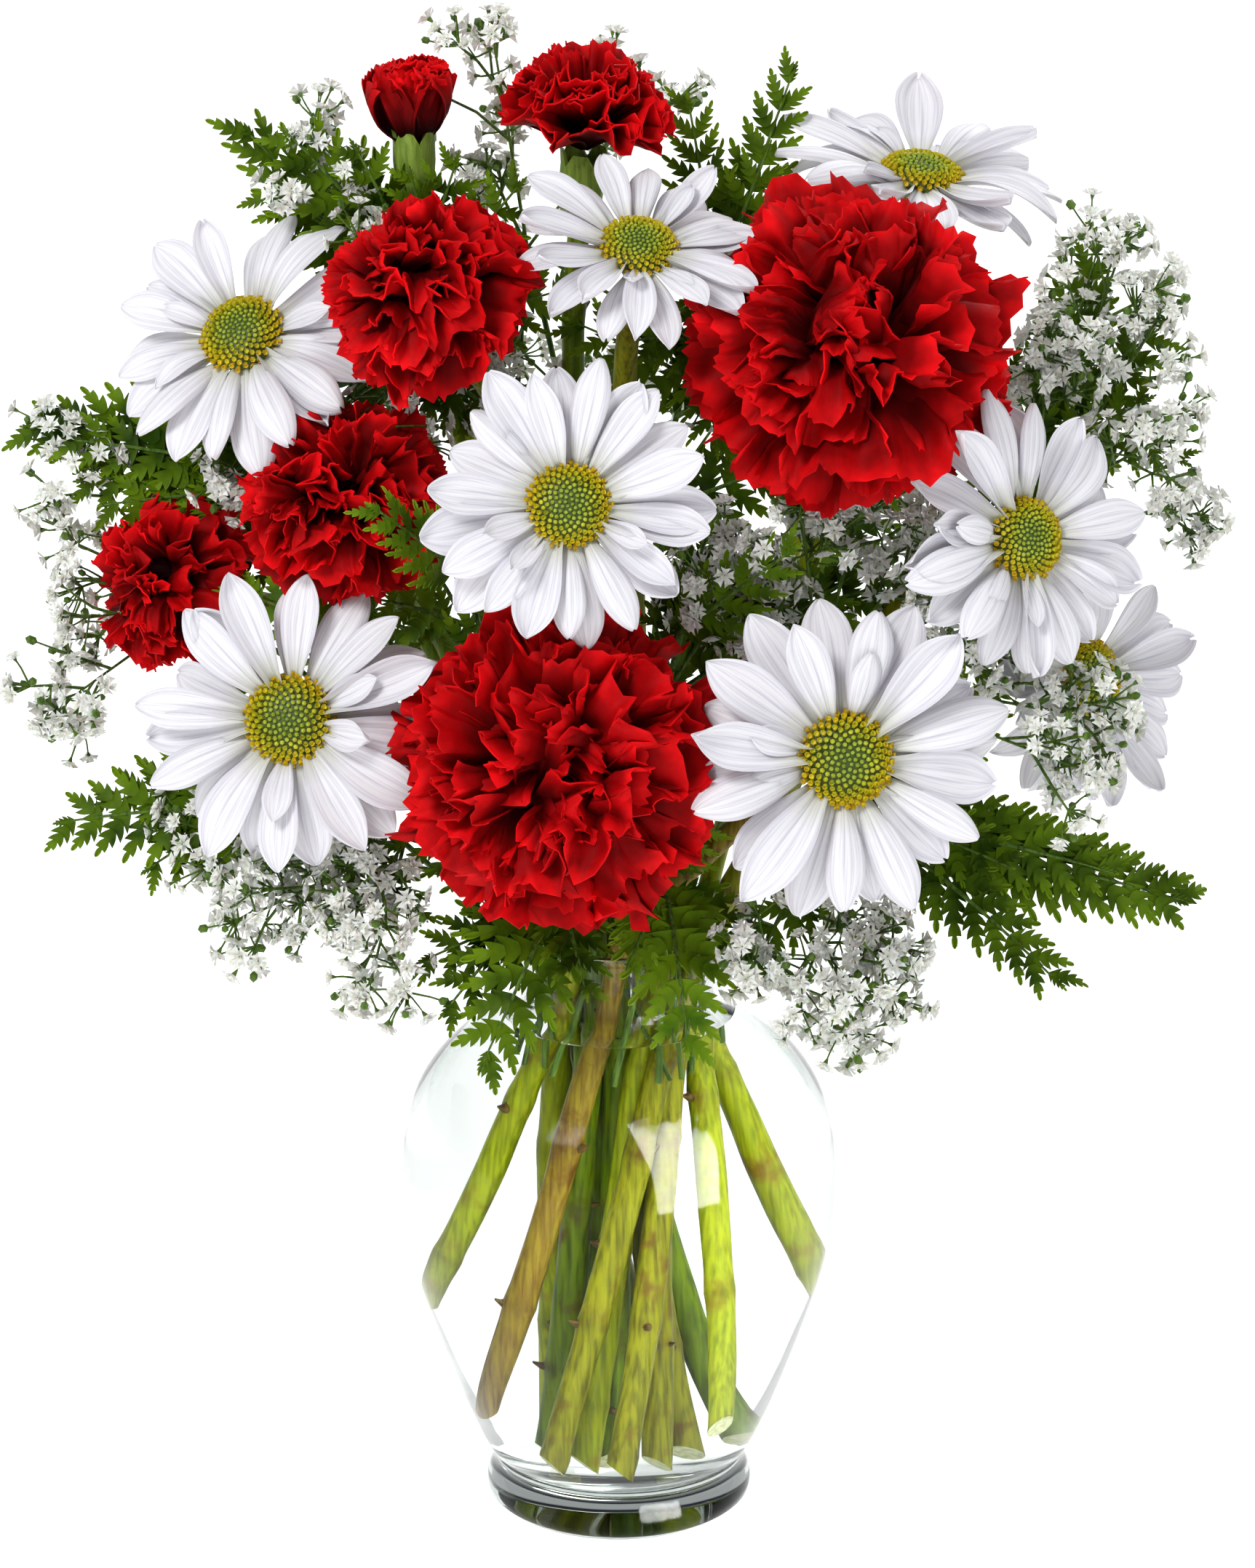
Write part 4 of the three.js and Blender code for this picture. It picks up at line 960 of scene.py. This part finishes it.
fern = {
    "fronds": {  # where the blades spring from, then each blade's tip, half width, arch and bare foot
        1: ((-56, 24, 332), [((-99, 10, 384), 17, 5, 0.04)]),
        2: ((26, 26, 338), [((18, 12, 391), 15, 3, 0.2), ((47, 34, 396), 15, 4, 0.2)]),
        3: ((-104, 14, 296), [((-158, 6, 304), 20, 6, 0.04)]),
        4: ((-98, -22, 208), [((-149, -26, 204), 20, 6, 0.04)]),
        5: ((116, 16, 306), [((149, 18, 332), 18, 4, 0.1), ((152, 4, 294), 14, 3, 0.2)]),
        6: ((70, -18, 199), [((153, -14, 178), 21, 9, 0.18), ((117, -46, 165), 16, 7, 0.18)]),
        7: ((-16, -44, 190), [((-36, -72, 151), 21, 8, 0.04)]),
        8: ((12, -46, 193), [((18, -74, 156), 21, 8, 0.04)]),
        9: ((-42, -44, 277), [((-62, -80, 304), 13, 3, 0.04)]),
        10: ((16, -48, 262), [((46, -62, 289), 14, 3, 0.04)]),
        11: ((-40, 40, 236), [((-94, 74, 292), 24, 9, 0.25), ((-66, 84, 208), 20, 9, 0.3)]),
        12: ((38, 42, 236), [((90, 76, 290), 24, 9, 0.25), ((62, 86, 206), 20, 9, 0.3)])},
    # short leaves low on a stalk, which close the gaps between the blooms: foot, tip, half width
    "inside": {
        1: [((-60, 22, 318), (-96, -2, 292), 17), ((-58, 20, 326), (-34, 0, 300), 15),
            ((-56, 20, 330), (-28, -2, 342), 14), ((-56, 16, 346), (-76, 6, 368), 18),
            ((-62, 16, 346), (-96, 14, 366), 17), ((-56, 10, 322), (-28, 0, 306), 18),
            ((-52, 12, 326), (-12, 4, 342), 18), ((-60, 6, 352), (-87, -2, 385), 21),
            ((-56, 4, 352), (-69, -4, 382), 18), ((-50, 4, 350), (-41, -6, 379), 17),
            ((-44, 2, 346), (-24, -4, 372), 18), ((-50, 2, 350), (-54, -8, 376), 16)],
        2: [((24, 24, 326), (26, -12, 300), 18), ((28, 24, 330), (52, 4, 296), 17),
            ((24, 24, 330), (20, 2, 350), 16), ((26, 24, 322), (0, -8, 330), 15),
            ((26, 22, 320), (38, -8, 316), 20), ((26, 24, 340), (40, 16, 378), 15),
            ((14, 6, 282), (52, 0, 298), 20), ((26, 10, 312), (-14, 2, 334), 18)],
        3: [((-100, 12, 288), (-120, -2, 320), 14), ((-98, 10, 282), (-90, -10, 258), 15),
            ((-98, 10, 292), (-144, 2, 290), 18), ((-98, 10, 286), (-132, 0, 276), 16),
            ((-94, 8, 288), (-116, -8, 278), 15), ((-96, 8, 296), (-76, -8, 318), 15),
            ((-96, 8, 292), (-146, 0, 302), 18), ((-96, 6, 286), (-137, -4, 285), 18),
            ((-94, 4, 286), (-120, -6, 276), 17), ((-94, 6, 296), (-116, 2, 306), 18)],
        4: [((-92, -14, 214), (-104, -14, 248), 16), ((-84, -16, 206), (-52, -50, 184), 15),
            ((-96, -20, 208), (-126, -32, 192), 18), ((-94, -20, 212), (-138, -26, 212), 17)],
        5: [((108, 12, 292), (84, -14, 262), 17), ((110, 12, 296), (98, 0, 330), 16),
            ((112, 14, 298), (128, 22, 352), 16), ((112, 12, 292), (142, 8, 312), 16),
            ((108, 14, 294), (124, 0, 268), 16)],
        6: [((60, -18, 200), (34, -58, 176), 17), ((62, -14, 206), (92, -30, 222), 16),
            ((70, -16, 202), (104, -34, 194), 17), ((76, -18, 202), (132, -26, 190), 18),
            ((68, -18, 208), (104, -26, 248), 18)],
        7: [((-18, -36, 184), (-52, -58, 176), 17), ((-14, -34, 190), (-30, -40, 214), 14),
            ((-18, -40, 192), (-46, -66, 164), 17), ((-16, -42, 192), (-8, -70, 170), 16),
            ((-18, -36, 190), (-60, -42, 206), 17)],
        8: [((12, -38, 190), (40, -58, 170), 17), ((10, -34, 196), (28, -44, 214), 15),
            ((12, -42, 194), (2, -70, 178), 15)],
        9: [((-42, -36, 262), (-66, -34, 268), 15), ((-58, -26, 250), (-104, -22, 268), 16),
            ((-40, -30, 250), (-30, -44, 274), 14)],
        10: [((16, -40, 250), (38, -30, 280), 18), ((14, -36, 244), (8, -46, 268), 14),
            ((16, -34, 250), (24, -18, 290), 18), ((30, -26, 256), (76, -22, 270), 18),
            ((18, -34, 244), (62, -26, 272), 18)],
        11: [((-40, 34, 230), (-76, 14, 252), 17), ((-38, 34, 236), (-14, 40, 276), 16)],
        12: [((38, 36, 230), (74, 14, 244), 17), ((36, 36, 236), (10, 38, 270), 16)]},
    "young": (8, 9), "spacing": 7.8, "lobes": 5, "width": 0.57, "thickness": 0.3,
    "kinds": [(0.05, 0.1), (0.02, 0.22), (0.09, 0.0)],  # rise of a leaflet's middle and drop of its tip
}


def makeLeafletPattern(kind):  # one unit long, its edge cut into forward-pointing toothed lobes
    rise, drop = kind
    lobes = fern["lobes"]
    steps = 4
    bpy.ops.mesh.primitive_grid_add(x_subdivisions=2, y_subdivisions=steps * lobes, size=1)
    leaflet = bpy.context.object
    leaflet.data.uv_layers[0].name = "petal"
    rows, columns = linesOf(leaflet, 1), linesOf(leaflet, 0)
    editMode(leaflet)
    for i, row in enumerate(rows):
        share = i / (steps * lobes)
        selectPoints(leaflet, row)
        broad = (1 - share) ** 0.8 * min(1, 0.5 + 2 * share)
        width = fern["width"] * max(0.02, broad) * (0.34, 0.62, 0.82, 1)[i % steps]
        lift = rise * 4 * share * (1 - share) - drop * share ** 2
        bpy.ops.transform.resize(value=(width, 1, 1), center_override=(0, share - 0.5, 0))
        bpy.ops.transform.translate(value=(0, 0.5, lift))
        if 0 < i < steps * lobes:
            selectPoints(leaflet, row & (columns[0] | columns[2]))
            bpy.ops.transform.translate(value=(0, (0.02, 0.08, 0.13, 0.21)[i % steps] * broad, 0))
    selectPoints(leaflet, columns[1])
    bpy.ops.transform.translate(value=(0, 0, -0.03))
    objectMode()
    applyModifier(leaflet, "SOLIDIFY", thickness=fern["thickness"] / 16, offset=0)
    smooth(leaflet, 50)
    return leaflet


def makeBlade(foot, tip, half, arch, bare, outward, rng):  # a rib with its pairs of leaflets
    along = tip - foot
    side = along.cross(Vector((0.1, outward, 0.45))).normalized()
    up = side.cross(along).normalized()

    def place(share, across):
        lift = arch * 4 * share * (1 - share) - 0.12 * abs(across)
        return foot + along * share + side * across + up * lift

    rib = [(place(k / 10, 0) * mm, (0.8 - 0.055 * k) * mm) for k in range(11)]
    count = max(4, round(along.length * (1 - bare) / fern["spacing"]))
    parts = []
    for i in range(count + 1):
        share = bare + (1 - bare) * i / (count + 0.7)
        reach = half * (1.0 - 0.74 * share) * min(1, 0.75 + 1.2 * i / count) * rng.uniform(0.92, 1.06)
        for sign in (-1, 1):
            forward = 0.26 * (1 - bare) * (1 - 0.35 * share)
            ahead = i == count and sign == 1
            start = place(share, 0)
            target = place(1.02, 0) if ahead else place(share + forward, sign * reach)
            y = (target - start).normalized()
            tilt = (up + 0.3 * Vector([rng.uniform(-1, 1) for _ in range(3)])).normalized()
            x = y.cross(tilt).normalized()
            length = (target - start).length
            broad = min(1.15 * length, 22)
            parts.append(copyTo(rng.choice(leafletPatterns), basis(
                start * mm, x, y, x.cross(y), (broad * mm, length * mm, length * mm))))
    return parts, rib


def makeFrond(number):
    root, blades = fern["fronds"][number]
    root = Vector(root)
    rng = random.Random(80 + number)
    leaf = fernLight if number in fern["young"] else fernDark
    line = smoothLine([*ringsOf(f"fern_{number}", stalk, 0.05), root * mm], stalk["spacing"] * mm)
    lines = [[(p, stalk["shown"] * mm) for p in line]]
    shapes = [(root, tip, half, arch, bare) for tip, half, arch, bare in blades]
    shapes += [(Vector(foot), tip, half, 4, 0.1) for foot, tip, half in fern["inside"].get(number, [])]
    parts = []
    for foot, tip, half, arch, bare in shapes:
        leaflets, rib = makeBlade(foot, Vector(tip), half, arch, bare, -1 if root.y < 30 else 1, rng)
        if foot is not root:
            joint = min(line, key=lambda p: (p - foot * mm - Vector((0, 0, -8 * mm))).length)
            rib = [(joint, stalk["shown"] * mm), *rib]
        parts += leaflets
        lines.append(rib)
    leaves = joinParts(parts, f"fern_{number}_leaves")
    leaves.data.materials.clear()
    leaves.data.materials.append(leaf)
    ribs = tubeAlong(lines, 6, f"fern_{number}_ribs")
    ribs.data.materials.append(twigGreen)
    smooth(ribs, 60)
    settle(joinParts([leaves, ribs], f"fern_{number}_frond"), "fern", f"fern_{number}")


leafletPatterns = [makeLeafletPattern(kind) for kind in fern["kinds"]]
for frondNumber in fern["fronds"]:
    makeFrond(frondNumber)
discard(leafletPatterns)
print("fern made")


# baby's breath

breath = {
    "sprays": {  # the fork, then each cloud's middle, reach and number of twig ends
        1: ((-24, 16, 350), [((-30, 12, 390), 17, 6), ((0, 40, 378), 14, 4)]),
        2: ((-66, 10, 322), [((-76, 4, 366), 15, 5), ((-62, -2, 350), 10, 3)]),
        3: ((-112, 22, 252), [((-141, 8, 290), 14, 5), ((-141, -14, 238), 12, 5)]),
        4: ((-56, -40, 203), [((-86, -46, 190), 16, 6), ((-62, -54, 180), 13, 4)]),
        5: ((44, -40, 186), [((56, -54, 168), 15, 6)]),
        6: ((112, 14, 280), [((128, 8, 338), 17, 6), ((146, 2, 281), 9, 4)]),
        7: ((52, -38, 250), [((48, -48, 284), 13, 5), ((109, -56, 232), 13, 5)]),
        8: ((4, 48, 262), [((-34, 66, 318), 20, 5), ((40, 68, 310), 20, 5)])},
    # small clouds low on a spray, which fill the gaps between the blooms
    "inside": {
        1: [((30, 4, 322), 17, 9), ((-26, 2, 318), 14, 7), ((24, 6, 346), 12, 5),
            ((-31, 12, 366), 9, 3)],
        2: [((-60, -18, 316), 16, 9), ((-96, -8, 300), 10, 4), ((-80, -4, 324), 12, 6)],
        3: [((-133, -6, 256), 11, 5), ((-136, 6, 268), 12, 5)],
        4: [((-62, -50, 196), 13, 8), ((-104, -30, 200), 11, 4), ((-76, -44, 200), 14, 8)],
        5: [((38, -58, 180), 11, 5), ((66, -54, 182), 9, 4), ((56, -58, 176), 12, 6)],
        6: [((112, -2, 318), 14, 8), ((136, -6, 300), 12, 6), ((136, 8, 322), 13, 6)],
        7: [((36, -44, 270), 14, 9), ((84, -44, 266), 14, 9), ((116, -46, 240), 12, 7),
            ((62, -40, 292), 15, 9), ((44, -34, 256), 12, 6), ((74, -32, 272), 13, 7),
            ((90, -40, 254), 11, 5), ((30, -28, 266), 11, 6)],
        8: [((0, 60, 290), 16, 6)]},
    "floretsPerEnd": 12, "budsPerEnd": 2, "floret": 3.1, "floretReach": (3, 9.5), "twig": 0.34,
    "backLimit": 90,  # nothing reaches further back, which keeps the part's size
}


def makeFloretPattern():  # two whorls of five notched petals on a green cup, one unit wide
    parts = []
    for ring, (reach, rise, broad) in enumerate(((1, 18, 0.92), (0.7, 48, 0.7))):
        for i in range(5):
            bpy.ops.mesh.primitive_plane_add(size=1)
            petal = bpy.context.object
            corners = [(-0.1, 0.08, 0), (0.1, 0.08, 0), (-broad / 2, reach, 0.08), (broad / 2, reach, 0.08)]
            for point, corner in zip(petal.data.vertices, corners):
                point.co = corner
            editMode(petal, "SELECT")
            bpy.ops.mesh.subdivide(number_cuts=1)
            tip = {v.index for v in bmesh.from_edit_mesh(petal.data).verts
                   if abs(v.co.x) < 0.01 and v.co.y > 0.9 * reach}
            selectPoints(petal, tip)
            bpy.ops.transform.translate(value=(0, -0.12, 0.1))
            objectMode()
            petal.data.transform(turnedBy(72 * i + 36 * ring, "Z") @ turnedBy(rise, "X"))
            parts.append(petal)
    bloom = joinParts(parts, "floret_pattern")
    bloom.data.materials.append(floretWhite)
    bpy.ops.mesh.primitive_cone_add(vertices=5, radius1=0.08, radius2=0.24, depth=0.5,
                                    location=(0, 0, -0.2))
    cup = newShape()
    cup.data.materials.append(twigGreen)
    return joinParts([bloom, cup], "floret_pattern")


def makeBudPattern():
    bpy.ops.mesh.primitive_ico_sphere_add(subdivisions=1, radius=0.4)
    bud = bpy.context.object
    bud.data.transform(Matrix.Diagonal((1, 1, 1.35, 1)))
    bud.data.materials.append(twigGreen)
    return bud


def insideHead(place):  # whether a place lies inside a bloom, where no floret can be
    for matrix, wide, low, high in headRooms:
        local = matrix @ place
        if low < local.z < high and math.hypot(local.x, local.y) < wide:
            return True
    return False


headRooms = []  # for each bloom the way into its own space, and its radius, lowest and highest there
for middle, facing, radius, *_ in carnation["heads"].values():
    headRooms.append((headMatrix(middle, facing, 0).inverted(),
                      radius * 0.98 * mm, -radius * 0.5 * mm, radius * 0.8 * mm))
for middle, facing, radius, *_ in daisy["heads"].values():
    headRooms.append((headMatrix(middle, facing, 0).inverted(), radius * 0.95 * mm, -4 * mm, 7 * mm))


def twigEnds(fork, middle, reach, ends, shares):  # where a cloud's twigs leave its main twig and end
    along = Vector(middle) * mm - fork
    length = along.length / mm
    turn = Vector((0, 0, 1)).rotation_difference(along).to_matrix()
    top = fork + turn @ Vector((0, 0, length + reach)) * mm
    tips = [(fork.lerp(top, 0.9), top)]
    for i in range(1, ends):
        share = i / ends
        rise = math.radians(30 + 25 * share + 8 * next(shares))
        around = math.radians(120 * i - 30 + 24 * (next(shares) - 0.5))
        wide = reach * (0.62 + 0.38 * next(shares)) * math.sqrt(math.sin(math.pi * (0.15 + 0.75 * share)))
        start = Vector((0, 0, length + reach * (1.5 * share - 1.15)))
        out = Vector((math.cos(rise) * math.cos(around), math.cos(rise) * math.sin(around), math.sin(rise)))
        tips.append((fork + turn @ start * mm, fork + turn @ (start + out * wide / math.cos(rise)) * mm))
    return top, tips


def makeSpray(number):
    fork, clouds = breath["sprays"][number]
    fork = Vector(fork) * mm
    shares = seededShares(299 + number)
    rng = random.Random(110 + number)
    line = smoothLine([*ringsOf(f"babys_breath_{number}", stalk, 0.03), fork], stalk["spacing"] * mm)
    lines = [[(p, 0.8 * mm) for p in line]]
    tips = []
    for middle, reach, ends in [*clouds, *breath["inside"][number]]:
        top, cloudTips = twigEnds(fork, middle, reach, ends, shares)
        lines.append([(fork.lerp(top, k / 6), (0.6 - 0.045 * k) * mm) for k in range(7)])
        tips += cloudTips
    parts = []
    for start, end in tips:
        bend = start.lerp(end, 0.55) + Vector([rng.uniform(-1.2, 1.2) * mm for _ in range(3)])
        lines.append([(start, breath["twig"] * 1.4 * mm), (bend, breath["twig"] * 1.2 * mm),
                      (end, breath["twig"] * mm)])
        for k in range(breath["floretsPerEnd"] + breath["budsPerEnd"]):
            isBud = k >= breath["floretsPerEnd"]
            spread = Vector([rng.gauss(0, 1) for _ in range(3)]).normalized()
            heading = (spread + 0.6 * (end - start).normalized()).normalized()
            place = (bend if k % 3 == 2 else end) + heading * rng.uniform(*breath["floretReach"]) * mm
            if insideHead(place) or place.y > breath["backLimit"] * mm:
                continue
            source = bend if k % 3 == 2 else bend.lerp(end, 0.8)
            lines.append([(source, breath["twig"] * mm), (source.lerp(place, 0.6) + spread * 0.4 * mm,
                          breath["twig"] * 0.8 * mm), (place, breath["twig"] * 0.7 * mm)])
            size = breath["floret"] * rng.uniform(0.78, 1.12) * mm
            stand = (place - source).to_track_quat("Z", "Y").to_matrix().to_4x4()
            parts.append(copyTo(budPattern if isBud else floretPattern,
                                Matrix.Translation(place) @ stand
                                @ Matrix.Rotation(rng.uniform(0, fullTurn), 4, "Z")
                                @ Matrix.Diagonal((size, size, size, 1))))
    florets = joinParts(parts, f"babys_breath_{number}_florets")
    twigs = tubeAlong(lines, 4, f"babys_breath_{number}_twigs")
    twigs.data.materials.append(twigGreen)
    spray = joinParts([florets, twigs], f"babys_breath_{number}_spray")
    settle(spray, "babys_breath", f"babys_breath_{number}")


floretPattern = makeFloretPattern()
budPattern = makeBudPattern()
for sprayNumber in breath["sprays"]:
    makeSpray(sprayNumber)
discard([floretPattern, budPattern])
print("baby's breath made")
